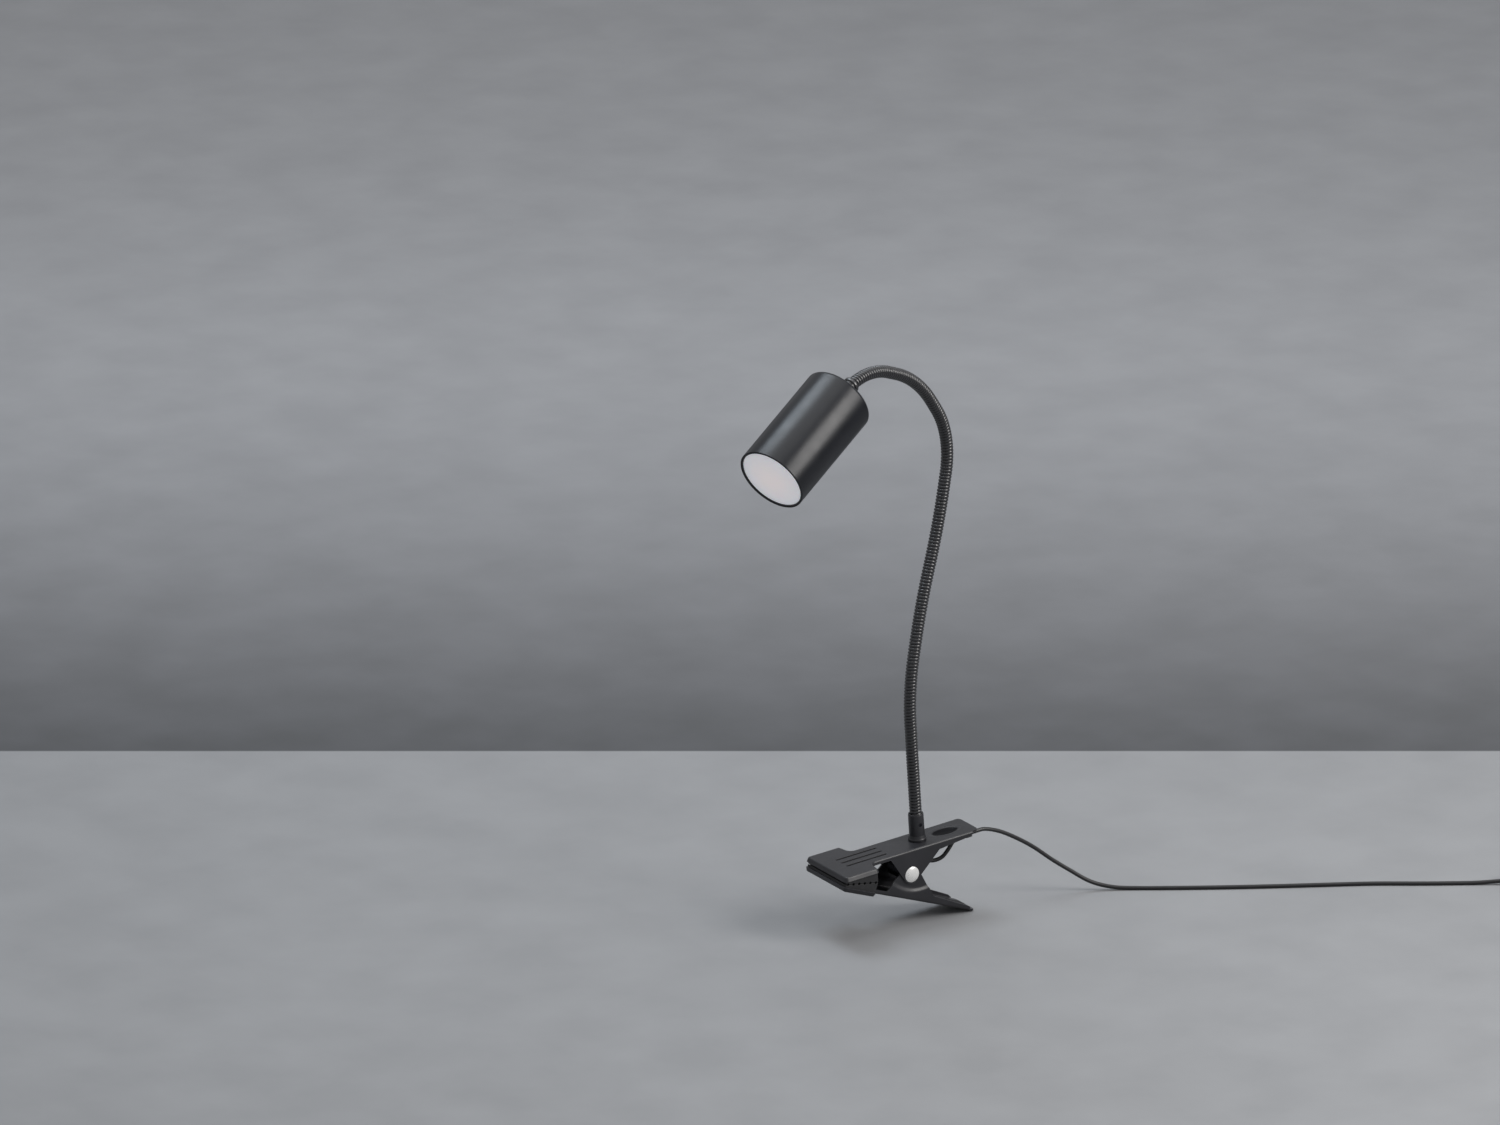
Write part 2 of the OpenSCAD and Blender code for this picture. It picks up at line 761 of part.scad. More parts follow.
module switch_base() {
    color("#1a1a1c") at_switch() difference() {
        union() {
            difference() {
                linear_extrude(switch_split) switch_outline(0);
                translate([0, 0, switch_wall]) linear_extrude(switch_h) switch_outline(switch_wall);
            }
            for (x = screw_x) translate([x, 0, 0.5]) cylinder(r = 2.8, h = switch_split - 0.5);
        }
        for (x = screw_x) translate([x, 0, -1]) {
            cylinder(r = 1.05, h = switch_h);
            cylinder(r = 2, h = 2.4);
        }
        translate([-1, 0, switch_bore_z]) rotate([0, 90, 0]) cylinder(r = lead_r + fit, h = 4);
        translate([switch_len - 3, 0, switch_bore_z]) rotate([0, 90, 0]) cylinder(r = lead_r + fit, h = 4);
    }
}

module switch_cover() {
    color("#1a1a1c") at_switch() difference() {
        union() {
            difference() {
                union() {
                    translate([0, 0, switch_split]) linear_extrude(switch_h - switch_split - 1) switch_outline(0);
                    translate([0, 0, switch_h - 1.01]) linear_extrude(1.01) switch_outline(0.7);
                }
                translate([0, 0, switch_split - 1]) linear_extrude(switch_h - switch_split - switch_wall + 1)
                    switch_outline(switch_wall);
            }
            for (x = screw_x) translate([x, 0, switch_split]) cylinder(r = 2.8, h = switch_h - switch_split - 1);
            for (s = [-1, 1]) translate([rocker_x - 3, s * (rocker_w / 2 + 1.2) - 0.8, rocker_z - 2])
                cube([6, 1.6, switch_h - rocker_z + 1.5]);
        }
        translate([rocker_x - rocker_len / 2 - 0.9, -rocker_w / 2 - 0.4, switch_split - 1])
            cube([rocker_len + 1.8, rocker_w + 0.8, switch_h]);
        translate([rocker_x, 7, rocker_z]) rotate([90, 0, 0]) cylinder(r = 1.3, h = 14);
        for (x = screw_x) translate([x, 0, switch_split - 1]) cylinder(r = 1.05, h = 4.6);
    }
}

// Rocker with a shallow V top, drawn pressed down at the plug side
module switch_rocker() {
    half = rocker_len / 2;
    color("#2c2c2f") at_switch() translate([rocker_x, 0, rocker_z]) rotate([0, rocker_throw, 0]) {
        translate([0, rocker_w / 2, 0]) rotate([90, 0, 0]) linear_extrude(rocker_w) polygon([
            [-half, 0], [-2, -1.4], [2, -1.4], [half, 0], [half, 3.9], [0, 3.2], [-half, 3.9]
        ]);
        translate([0, rocker_w / 2 + 1.3, 0]) rotate([90, 0, 0]) cylinder(r = 1, h = rocker_w + 2.6);
    }
}

module switch_screws() {
    color("#c9cacd") at_switch() for (x = screw_x) translate([x, 0, 0.2]) {
        cylinder(r = 1.9, h = 1.1);
        cylinder(r = 1, h = 7);
    }
}

module switch_contacts() {
    color("#c8963c") at_switch() for (x = [14.5, 27.5]) translate([x, -2, switch_wall]) {
        cube([4, 4, 0.6]);
        translate([x < 20 ? 3.4 : 0, 0, 0]) cube([0.6, 4, 2.4]);
    }
}

// Stored coil of the lead, beyond the switch
coil_at = [541, -201, floor_z];
coil_r_out = 22;                // radius of the outer turn's middle
coil_step = lead_d + 0.05;
lead_top = lead_floor + (coil_rows - 1) * coil_step;
switch_exit = switch_at + [switch_len * cos(switch_turn), switch_len * sin(switch_turn), switch_bore_z];

to_coil_route = [
    switch_exit, [509, -207.4, lead_floor + 1], [516, -211.7, lead_floor + 0.1],
    [523, -216, lead_floor], [529.6, -220, lead_floor]
];

module lead_2() {
    color("#17171a") sweep(smooth_path(to_coil_route, 3), lead_r, 8);
}

module lead_coil() {
    r_in = coil_r_out - (coil_cols - 1) * coil_step;
    color("#17171a") translate(coil_at) rotate_extrude() translate([r_in - lead_r, 0])
        square([coil_r_out - r_in + lead_d, (coil_rows - 1) * coil_step + lead_d]);
}

// Twist tie round the stored coil
module lead_tie() {
    r_in = coil_r_out - (coil_cols - 1) * coil_step - lead_r;
    w = coil_r_out + lead_r - r_in;
    h = (coil_rows - 1) * coil_step + lead_d;
    color("#3a3a3c") translate(coil_at) rotate([0, 0, 75]) difference() {
        translate([r_in - 0.8, -2, 0]) cube([w + 1.6, 4, h + 0.8]);
        rotate_extrude() translate([r_in, -1]) square([w, h + 1]);
    }
}

plug_route = [
    [563, -201, lead_top], [563.2, -193, lead_top - 0.5], [563.6, -186, lead_floor + 1.2],
    [564, -179, lead_floor + 1.6], [564, -172, lead_floor + 2.4], [564, -166, lead_floor + 2.5]
];

module lead_3() {
    color("#17171a") sweep(smooth_path(plug_route, 3), lead_r, 8);
}

// Plug for a low-voltage supply; its frame starts where the lead ends
plug_half = 4;                  // half of the grip's height
grip_len = 22;
relief_len = 9;
shell_len = 12;

module at_plug() {
    translate([564, -166, floor_z + plug_half]) rotate([0, 0, 90]) children();
}

module plug_grip() {
    color("#17171a") at_plug() difference() {
        union() {
            rotate([0, 90, 0]) cylinder(r1 = 2.1, r2 = 3.3, h = relief_len + 0.5);
            translate([relief_len, 0, -plug_half]) linear_extrude(2 * plug_half) rounded_rect(0, grip_len, 7.8, 1.8);
        }
        for (x = [14:2.4:24]) for (s = [-1, 1]) translate([x, s * 8.2, -5]) cylinder(r = 0.8, h = 10);
        translate([relief_len + grip_len - 3, -6, -2.25]) cube([4, 12, 4.5]);
    }
}

module plug_shell() {
    x0 = relief_len + grip_len - 3;
    color("#c9cacd") at_plug() difference() {
        translate([x0, -6, -2.25]) cube([shell_len + 3, 12, 4.5]);
        translate([x0 - 1, -5.7, -1.95]) cube([shell_len + 5, 11.4, 3.9]);
        for (y = [-3.6, 1.4]) translate([x0 + 7, y, -5]) cube([2.2, 2.2, 10]);
    }
}

module plug_tongue() {
    x0 = relief_len + grip_len - 3;
    color("#ececec") at_plug() {
        translate([x0, -5.7, -1.95]) cube([3, 11.4, 3.9]);
        translate([x0, -5.6, 0.05]) cube([shell_len + 1.6, 11.2, 1.85]);
    }
}

upper_arm();
lower_arm();
upper_pad();
lower_pad();
pivot_pin();
spring_sleeve();
torsion_spring();
spring_leg();
socket();
set_screw();
socket_nipple();
socket_washer();
socket_nut();
hose(0);  // hose_1
hose(1);  // hose_2
hose(2);  // hose_3
hose(3);  // hose_4
hose(4);  // hose_5
hose(5);  // hose_6
hose(6);  // hose_7
wire(0);  // wire_1
wire(1);  // wire_2
wire(2);  // wire_3
wire(3);  // wire_4
wire(4);  // wire_5
wire(5);  // wire_6
wire(6);  // wire_7
head_nipple();
head_washer();
head_nut();
shade();
front_ring();
diffuser();
reflector();
led_board();
led_chips();
led_screws();
heat_sink();
driver_board();
driver_parts();
driver_screws();
head_wires();
inner_lead();
lead_clip();
lead_1();
lead_2();
lead_3();
lead_coil();
lead_tie();
switch_base();
switch_cover();
switch_rocker();
switch_screws();
switch_contacts();
plug_grip();
plug_shell();
plug_tongue();
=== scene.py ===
"""Looks of the clip-on reading lamp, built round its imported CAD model.

Pieces are drawn in millimetres in the frame of the part they belong to, and every such frame is a
matrix that ends in metres in the model's own frame.
"""
import json
import math

import bmesh
import bpy
from mathutils import Matrix, Vector, geometry


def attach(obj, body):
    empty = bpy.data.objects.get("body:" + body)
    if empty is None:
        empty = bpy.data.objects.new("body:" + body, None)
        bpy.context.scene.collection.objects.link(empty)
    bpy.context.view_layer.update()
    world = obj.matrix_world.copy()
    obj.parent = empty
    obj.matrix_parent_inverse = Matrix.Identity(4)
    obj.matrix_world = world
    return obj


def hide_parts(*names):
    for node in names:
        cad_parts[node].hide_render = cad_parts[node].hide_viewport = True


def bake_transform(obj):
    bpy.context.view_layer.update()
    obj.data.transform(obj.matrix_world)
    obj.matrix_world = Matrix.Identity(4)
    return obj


MM = 0.001
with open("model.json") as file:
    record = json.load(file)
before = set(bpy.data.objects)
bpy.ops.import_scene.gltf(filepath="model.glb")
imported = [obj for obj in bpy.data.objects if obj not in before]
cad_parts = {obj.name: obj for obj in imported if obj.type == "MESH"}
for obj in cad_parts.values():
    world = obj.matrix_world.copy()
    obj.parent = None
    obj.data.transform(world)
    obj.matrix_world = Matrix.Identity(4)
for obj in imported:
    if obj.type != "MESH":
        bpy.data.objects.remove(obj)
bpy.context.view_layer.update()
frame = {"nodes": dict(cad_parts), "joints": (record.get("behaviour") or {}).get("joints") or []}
scene = bpy.context.scene
nodes = frame["nodes"]


# ---------- frames ----------

UPPER_TILT = 4           # degrees
LOWER_TILT = 20
PIVOT_BACK = 65          # pivot behind the jaw front
PIVOT_DROP = 19          # pivot inside an arm's outer face
SOCKET_X = 80            # behind the jaw front
SOCKET_H = 21
LENS_FACE = 86
HOSE_TURN = 18.6         # direction in which the hose leans, degrees from the arm's length
HOSE_LEN = 63            # one section of the hose
HOSE_STRAIGHT = 5        # straight stretch at each end of a section
HOSE_BENT = HOSE_LEN - 2 * HOSE_STRAIGHT
HOSE_BENDS = [0, -18, -7, 7, 50, 32, 49]     # degrees in each section, from the socket up


def joint(name):
    return next(j for j in frame["joints"] if j["name"] == name)


def turn(degrees, axis):
    return Matrix.Rotation(math.radians(degrees), 4, axis)


def shift(x, y, z):
    return Matrix.Translation((x, y, z))


def hose_step(bend, t):
    """Frame t mm along a hose section that is straight at both ends and bends in between."""
    bent = min(max(t - HOSE_STRAIGHT, 0), HOSE_BENT)
    step = shift(0, 0, min(t, HOSE_STRAIGHT))
    if bend:
        r = HOSE_BENT / math.radians(bend)
        a = bent / r
        step = step @ shift(r * (1 - math.cos(a)), 0, r * math.sin(a)) @ Matrix.Rotation(a, 4, "Y")
    else:
        step = step @ shift(0, 0, bent)
    return step @ shift(0, 0, max(t - HOSE_STRAIGHT - HOSE_BENT, 0))


PIVOT = Matrix.Translation(joint("clamp_pivot")["pos_m"]) @ Matrix.Scale(MM, 4)
ARM = shift(-PIVOT_BACK, 0, PIVOT_DROP)
UPPER = PIVOT @ turn(-UPPER_TILT, "Y") @ ARM
LOWER = PIVOT @ turn(LOWER_TILT, "Y") @ Matrix.Diagonal((1, 1, -1, 1)) @ ARM
SOCKET = UPPER @ shift(SOCKET_X, 0, 0)
SECTIONS = [SOCKET @ shift(0, 0, SOCKET_H) @ turn(180 + HOSE_TURN, "Z")]
for hose_bend in HOSE_BENDS:
    SECTIONS.append(SECTIONS[-1] @ hose_step(hose_bend, HOSE_LEN))
HEAD = SECTIONS[-1]


def hose_frame(s):
    """Frame of the hose s mm from the top of its socket."""
    k = min(max(int(s // HOSE_LEN), 0), len(HOSE_BENDS) - 1)
    t = s - k * HOSE_LEN
    if t < 0:
        return SECTIONS[0] @ shift(0, 0, s)
    return SECTIONS[k] @ hose_step(HOSE_BENDS[k], t)


# ---------- camera ----------

FRAME_WIDTH = 1.0875     # metres across the picture at the lamp
LENS = 400
SENSOR = 36
LOOK = Vector((0.509, 0.790, -0.342)).normalized()
LOOK_AT = Vector((-0.0215, 0.0932, 0.2155))


def make_camera():
    data = bpy.data.cameras.new("camera")
    data.lens = LENS
    data.sensor_width = SENSOR
    camera = bpy.data.objects.new("camera", data)
    distance = FRAME_WIDTH * LENS / SENSOR
    camera.location = LOOK_AT - LOOK * distance
    camera.rotation_mode = "QUATERNION"
    camera.rotation_quaternion = LOOK.to_track_quat("-Z", "Y")
    scene.collection.objects.link(camera)
    scene.camera = camera


# ---------- materials ----------

def linear(hex_colour):
    """Scene colour of a #rrggbb colour."""
    rgb = [int(hex_colour[i:i + 2], 16) / 255 for i in (1, 3, 5)]
    return [c / 12.92 if c <= 0.04045 else ((c + 0.055) / 1.055) ** 2.4 for c in rgb] + [1]


class Look:
    """A procedural material, in object space: mottled colour, varied roughness and a fine bump."""

    def __init__(self, name):
        self.material = bpy.data.materials.new(name)
        self.material.use_nodes = True
        self.tree = self.material.node_tree
        self.shader = self.tree.nodes["Principled BSDF"]
        self.place = self.tree.nodes.new("ShaderNodeTexCoord").outputs["Object"]
        self.normal = None

    def node(self, kind, **settings):
        made = self.tree.nodes.new("ShaderNode" + kind)
        for key, value in settings.items():
            setattr(made, key, value)
        return made

    def link(self, a, b):
        self.tree.links.new(a, b)

    def noise(self, size_mm, detail=3, stretch=(1, 1, 1)):
        """Noise from 0 to 1 whose blobs are about size_mm across."""
        mapping = self.node("Mapping")
        mapping.inputs["Scale"].default_value = stretch
        self.link(self.place, mapping.inputs["Vector"])
        made = self.node("TexNoise")
        made.inputs["Scale"].default_value = 1 / (size_mm * MM)
        made.inputs["Detail"].default_value = detail
        self.link(mapping.outputs["Vector"], made.inputs["Vector"])
        return made.outputs["Fac"]

    def spread(self, value, low, high, start=0.3, end=0.7):
        """Takes value from the range start to end into the range low to high."""
        made = self.node("MapRange")
        ends = {"From Min": start, "From Max": end, "To Min": low, "To Max": high}
        for key, number in ends.items():
            made.inputs[key].default_value = number
        self.link(value, made.inputs["Value"])
        return made.outputs["Result"]

    def mix(self, value, first, second):
        made = self.node("Mix", data_type="RGBA")
        self.link(value, made.inputs["Factor"])
        for slot_name, colour in (("A", first), ("B", second)):
            socket = next(s for s in made.inputs if s.name == slot_name and s.type == "RGBA")
            if isinstance(colour, bpy.types.NodeSocket):
                self.link(colour, socket)
            else:
                socket.default_value = colour
        return next(s for s in made.outputs if s.type == "RGBA")

    def maths(self, operation, a, b):
        made = self.node("Math", operation=operation)
        for socket, value in zip(made.inputs, (a, b)):
            if isinstance(value, bpy.types.NodeSocket):
                self.link(value, socket)
            else:
                socket.default_value = value
        return made.outputs[0]

    def bump(self, height, depth_mm, strength=1.0):
        made = self.node("Bump")
        made.inputs["Distance"].default_value = depth_mm * MM
        made.inputs["Strength"].default_value = strength
        self.link(height, made.inputs["Height"])
        if self.normal is not None:
            self.link(self.normal, made.inputs["Normal"])
        self.normal = made.outputs["Normal"]
        self.link(self.normal, self.shader.inputs["Normal"])

    def distance_from(self, point, axis):
        """Distance in metres from the line through point along axis."""
        offset = self.node("VectorMath", operation="SUBTRACT")
        offset.inputs[1].default_value = point
        self.link(self.place, offset.inputs[0])
        crossed = self.node("VectorMath", operation="CROSS_PRODUCT")
        crossed.inputs[1].default_value = axis
        self.link(offset.outputs["Vector"], crossed.inputs[0])
        length = self.node("VectorMath", operation="LENGTH")
        self.link(crossed.outputs["Vector"], length.inputs[0])
        return length.outputs["Value"]

    def hollow(self, place, low, high):
        """1 in the hollows of a plate's outer face and 0 elsewhere; low and high are the corners,
        in the plate's own x and y, of the area that has hollows."""
        back = place.inverted()
        inside = self.node("Mapping")
        inside.inputs["Location"].default_value = back.translation
        inside.inputs["Rotation"].default_value = back.to_euler()
        inside.inputs["Scale"].default_value = back.to_scale()
        self.link(self.place, inside.inputs["Vector"])
        x, y, z = self.axes(inside.outputs["Vector"])
        deep = self.spread(z, 0, 1, -0.12, -0.55)
        for value, start, end in ((x, low[0], high[0]), (y, low[1], high[1])):
            after = self.spread(value, 0, 1, start, start + 1)
            before = self.spread(value, 1, 0, end - 1, end)
            deep = self.maths("MULTIPLY", deep, self.maths("MULTIPLY", after, before))
        return deep

    def axes(self, vector):
        made = self.node("SeparateXYZ")
        self.link(vector, made.inputs["Vector"])
        return made.outputs

    def mottle(self, dark, light, size_mm, detail=4):
        """Colour that wanders between two #rrggbb colours in blobs about size_mm across."""
        return self.mix(self.spread(self.noise(size_mm, detail), 0, 1), linear(dark), linear(light))

    def colours(self, dark, light, size_mm, detail=4):
        self.link(self.mottle(dark, light, size_mm, detail), self.shader.inputs["Base Color"])

    def roughness(self, low, high, size_mm, detail=3):
        value = self.spread(self.noise(size_mm, detail), low, high)
        self.link(value, self.shader.inputs["Roughness"])


def painted(name, dark, light, rough, grain_mm=0.5, grain_depth=0.01, coat=0.0):
    """Paint or moulded plastic with a fine surface grain."""
    look = Look(name)
    look.colours(dark, light, 14)
    look.roughness(rough[0], rough[1], 9)
    look.bump(look.noise(grain_mm, 2), grain_depth)
    look.shader.inputs["Coat Weight"].default_value = coat
    look.shader.inputs["Coat Roughness"].default_value = 0.18
    return look.material


def metal(name, dark, light, rough, scratch=(1, 1, 12), grain_mm=0.8, grain_depth=0.006):
    """Bare or plated metal with a faint drawn grain."""
    look = Look(name)
    look.colours(dark, light, 6)
    look.roughness(rough[0], rough[1], 3)
    look.bump(look.noise(grain_mm, 3, scratch), grain_depth)
    look.shader.inputs["Metallic"].default_value = 1
    return look.material


def black_steel():
    """Satin black paint on sheet steel, with a painted highlight in patches along its edges and
    painted shade, darker and less shiny, where it is pressed in.
    """
    look = Look("black_steel")
    flat = look.mottle("#1b1b1f", "#232327", 18)
    specks = look.spread(look.noise(0.9, 2), 0, 1, 0.72, 0.80)
    dusty = look.mix(specks, flat, linear("#3a3a3e"))
    # Painted highlight: a lighter grey in patches along the sheet's edges, where the bevel normal
    # turns away from the face normal.
    corner = look.node("Bevel", samples=6)
    corner.inputs["Radius"].default_value = 0.5 * MM
    face = look.node("NewGeometry")
    across = look.node("VectorMath", operation="DOT_PRODUCT")
    look.link(corner.outputs["Normal"], across.inputs[0])
    look.link(face.outputs["Normal"], across.inputs[1])
    edge = look.spread(across.outputs["Value"], 0.55, 0, 0.80, 0.97)
    edge_highlight_mask = look.maths("MULTIPLY", edge, look.spread(look.noise(2.5, 3), 0.15, 1, 0.35, 0.6))
    # Painted shade: the grooves and the finger rest are darkened and given less reflection.
    pressed = look.hollow(UPPER, (12, -9), (119, 9))
    edge_highlit = look.mix(edge_highlight_mask, dusty, linear("#66666b"))
    look.link(look.mix(pressed, edge_highlit, linear("#0d0d10")), look.shader.inputs["Base Color"])
    look.link(look.spread(pressed, 0.5, 0.06, 0, 1), look.shader.inputs["Specular IOR Level"])
    look.roughness(0.36, 0.46, 7)
    look.bump(look.noise(0.7, 2), 0.006)
    look.bump(look.noise(9, 2), 0.02)
    return look.material


def hose_black():
    """Black lacquered steel strip, shiny on its crowns, with painted shade in its valleys: near black
    and with almost no reflection there.
    """
    look = Look("hose_black")
    # Painted shade: the valleys between the ribs, found from the pointiness, are near black and
    # reflect almost nothing.
    crown = look.spread(look.node("NewGeometry").outputs["Pointiness"], 0, 1, 0.44, 0.53)
    lacquer = look.mottle("#151518", "#1d1d21", 3, 3)
    look.link(look.mix(crown, linear("#030304"), lacquer), look.shader.inputs["Base Color"])
    look.link(look.spread(crown, 0.02, 0.85, 0, 1), look.shader.inputs["Specular IOR Level"])
    look.roughness(0.26, 0.32, 4)
    return look.material


def shade_black():
    """Satin black enamel on a drawn can, with faint turning marks round it."""
    look = Look("shade_black")
    look.colours("#0e1015", "#13151b", 22)
    look.roughness(0.31, 0.36, 12)
    look.shader.inputs["Specular IOR Level"].default_value = 0.32
    marks = look.node("TexWave", wave_type="BANDS", bands_direction="Z")
    along = look.node("Mapping")
    along.inputs["Rotation"].default_value = HEAD.to_3x3().normalized().inverted().to_euler()
    look.link(look.place, along.inputs["Vector"])
    look.link(along.outputs["Vector"], marks.inputs["Vector"])
    marks.inputs["Scale"].default_value = 900
    marks.inputs["Distortion"].default_value = 1.5
    look.bump(marks.outputs["Fac"], 0.0012)
    look.bump(look.noise(0.5, 2), 0.004)
    return look.material


def diffuser_white():
    """Frosted acrylic, faintly warm over the light board, with a faint painted glow that stands in
    for light falling on it.
    """
    look = Look("diffuser_white")
    centre = HEAD @ Vector((0, 0, LENS_FACE))
    axis = HEAD.to_3x3().normalized() @ Vector((0, 0, 1))
    middle = look.spread(look.distance_from(centre, axis), 1, 0, 0.004, 0.021)
    plain = look.mottle("#e9e8ec", "#f1f0f3", 6, 2)
    look.link(look.mix(middle, plain, linear("#faf1f0")), look.shader.inputs["Base Color"])
    look.roughness(0.38, 0.46, 4)
    look.bump(look.noise(0.25, 2), 0.004)
    # Painted light: a faint glow, warmer over the light board, stands in for light falling on the
    # diffuser.
    painted_glow = look.mix(middle, linear("#e6e7ec"), linear("#f3e9e8"))
    look.link(painted_glow, look.shader.inputs["Emission Color"])
    look.shader.inputs["Emission Strength"].default_value = 0.31
    look.shader.inputs["Subsurface Weight"].default_value = 0.25
    look.shader.inputs["Subsurface Scale"].default_value = 0.004
    return look.material


def rivet_nickel():
    """Pale, satin nickel plate."""
    look = Look("rivet_nickel")
    look.colours("#ecebe8", "#f8f7f5", 5)
    look.roughness(0.26, 0.34, 2)
    look.shader.inputs["Metallic"].default_value = 0.55
    return look.material


def pad_rubber():
    look = Look("pad_rubber")
    look.colours("#18181a", "#232325", 5)
    look.roughness(0.55, 0.68, 2)
    look.bump(look.noise(0.35, 3), 0.02)
    look.bump(look.noise(4, 2), 0.05)
    return look.material


MATERIALS = {
    "black_steel": black_steel(),
    "pad_rubber": pad_rubber(),
    "rivet_nickel": rivet_nickel(),
    "spring_black": metal("spring_black", "#27272b", "#3b3b40", (0.3, 0.42)),
    "zinc_steel": metal("zinc_steel", "#a5a8ad", "#c5c8cc", (0.28, 0.4)),
    "hose_black": hose_black(),
    "shade_black": shade_black(),
    "bezel_black": painted("bezel_black", "#17171a", "#1f1f23", (0.3, 0.4)),
    "diffuser_white": diffuser_white(),
    "reflector_white": painted("reflector_white", "#e8e8e8", "#f5f5f5", (0.3, 0.4)),
    "board_white": painted("board_white", "#e6e6e0", "#f2f2ee", (0.35, 0.45)),
    "led_yellow": painted("led_yellow", "#eebf3f", "#ffdc6a", (0.4, 0.5)),
    "sink_aluminium": metal("sink_aluminium", "#b2b4b8", "#c9cbce", (0.35, 0.45)),
    "board_green": painted("board_green", "#265a3b", "#2f6b46", (0.3, 0.4)),
    "parts_dark": painted("parts_dark", "#1d1d1f", "#2b2b2d", (0.35, 0.5)),
    "wire_red": painted("wire_red", "#9c3c31", "#b34a3d", (0.4, 0.5)),
    "lead_black": painted("lead_black", "#0e0e10", "#151517", (0.38, 0.5), 0.4, 0.008),
    "clip_black": painted("clip_black", "#1c1c1f", "#27272a", (0.42, 0.55), 0.4, 0.02),
    "switch_black": painted("switch_black", "#161618", "#202023", (0.36, 0.48), 0.3, 0.02),
    "rocker_grey": painted("rocker_grey", "#252528", "#313135", (0.3, 0.42), 0.3, 0.01),
    "contact_brass": metal("contact_brass", "#b28a3c", "#d0a750", (0.25, 0.4)),
    "shell_nickel": metal("shell_nickel", "#b9babd", "#d3d4d6", (0.2, 0.32)),
    "tongue_white": painted("tongue_white", "#dededa", "#eeeeea", (0.35, 0.5)),
}


# ---------- mesh helpers ----------

def paint(obj, slot):
    obj.data.materials.clear()
    obj.data.materials.append(MATERIALS[slot])


def smooth_by_angle(mesh, degrees):
    mesh.polygons.foreach_set("use_smooth", [True] * len(mesh.polygons))
    mesh.set_sharp_from_angle(angle=math.radians(degrees))


def build(name, verts, faces, place, slot, sharp=35, outward=True):
    """A mesh piece drawn in mm in the frame place."""
    mesh = bpy.data.meshes.new(name)
    mesh.from_pydata([tuple(v) for v in verts], [], faces)
    mesh.transform(place)
    shape = bmesh.new()
    shape.from_mesh(mesh)
    bmesh.ops.remove_doubles(shape, verts=shape.verts, dist=0.002 * MM)
    loose = [e for e in shape.edges if not e.link_faces]
    bmesh.ops.delete(shape, geom=loose, context="EDGES")
    if outward:
        bmesh.ops.recalc_face_normals(shape, faces=shape.faces)
    shape.to_mesh(mesh)
    shape.free()
    smooth_by_angle(mesh, sharp)
    obj = bpy.data.objects.new(name, mesh)
    scene.collection.objects.link(obj)
    paint(obj, slot)
    return obj


def soften(obj, width_mm, segments=2, angle=40):
    """Rounds a piece's sharp edges and keeps its flat faces flat in the shading."""
    bevel = obj.modifiers.new("edges", "BEVEL")
    bevel.width = width_mm * MM
    bevel.segments = segments
    bevel.limit_method = "ANGLE"
    bevel.angle_limit = math.radians(angle)
    bevel.use_clamp_overlap = True
    weighted = obj.modifiers.new("shading", "WEIGHTED_NORMAL")
    weighted.keep_sharp = False
    weighted.weight = 80


def settle(obj):
    """Applies a piece's modifiers, so that its mesh is final."""
    graph = bpy.context.evaluated_depsgraph_get()
    mesh = bpy.data.meshes.new_from_object(obj.evaluated_get(graph))
    obj.modifiers.clear()
    obj.data = mesh


def rounded(points, radius, steps=5, closed=True):
    """An outline with its corners rounded; radius is one number or one for each point."""
    out = []
    count = len(points)
    for i, point in enumerate(points):
        r = radius[i] if isinstance(radius, (list, tuple)) else radius
        here = Vector(point)
        if r == 0 or (not closed and i in (0, count - 1)):
            out.append(here)
            continue
        before = Vector(points[i - 1]) - here
        after = Vector(points[(i + 1) % count]) - here
        half = before.angle(after) / 2
        reach = min(r / math.tan(half), 0.49 * before.length, 0.49 * after.length)
        start = here + before.normalized() * reach
        end = here + after.normalized() * reach
        bisector = (before.normalized() + after.normalized()).normalized()
        centre = here + bisector * (reach / math.cos(half))
        u = start - centre
        v = end - centre
        sweep = u.angle(v)
        for f in span(0, 1, steps):
            spoke = u * math.sin((1 - f) * sweep) + v * math.sin(f * sweep)
            out.append(centre + spoke / math.sin(sweep))
    return out


def lathe(name, outline, place, slot, segments=96, closed=True, sharp=35):
    """Turns an outline of (radius, height) points round the frame's z axis."""
    n = len(outline)
    last = n if closed else n - 1
    verts = []
    faces = []
    for i in range(segments):
        a = 2 * math.pi * i / segments
        verts += [(r * math.cos(a), r * math.sin(a), z) for r, z in outline]
        here = i * n
        there = (i + 1) % segments * n
        faces += [(here + k, there + k, there + (k + 1) % n, here + (k + 1) % n)
                  for k in range(last)]
    return build(name, verts, faces, place, slot, sharp)


def curve_point(p, i, t):
    """Point on the smooth curve through the points p, t of the way from point i to the next."""
    a, b, c, d = p[max(i - 1, 0)], p[i], p[i + 1], p[min(i + 2, len(p) - 1)]
    square = (2 * a - 5 * b + 4 * c - d) * t * t
    cube = (3 * b - a - 3 * c + d) * t ** 3
    return 0.5 * (2 * b + (c - a) * t + square + cube)


def smooth_path(points, steps):
    p = [Vector(q) for q in points]
    path = [curve_point(p, i, j / steps) for i in range(len(p) - 1) for j in range(steps)]
    return path + [p[-1]]


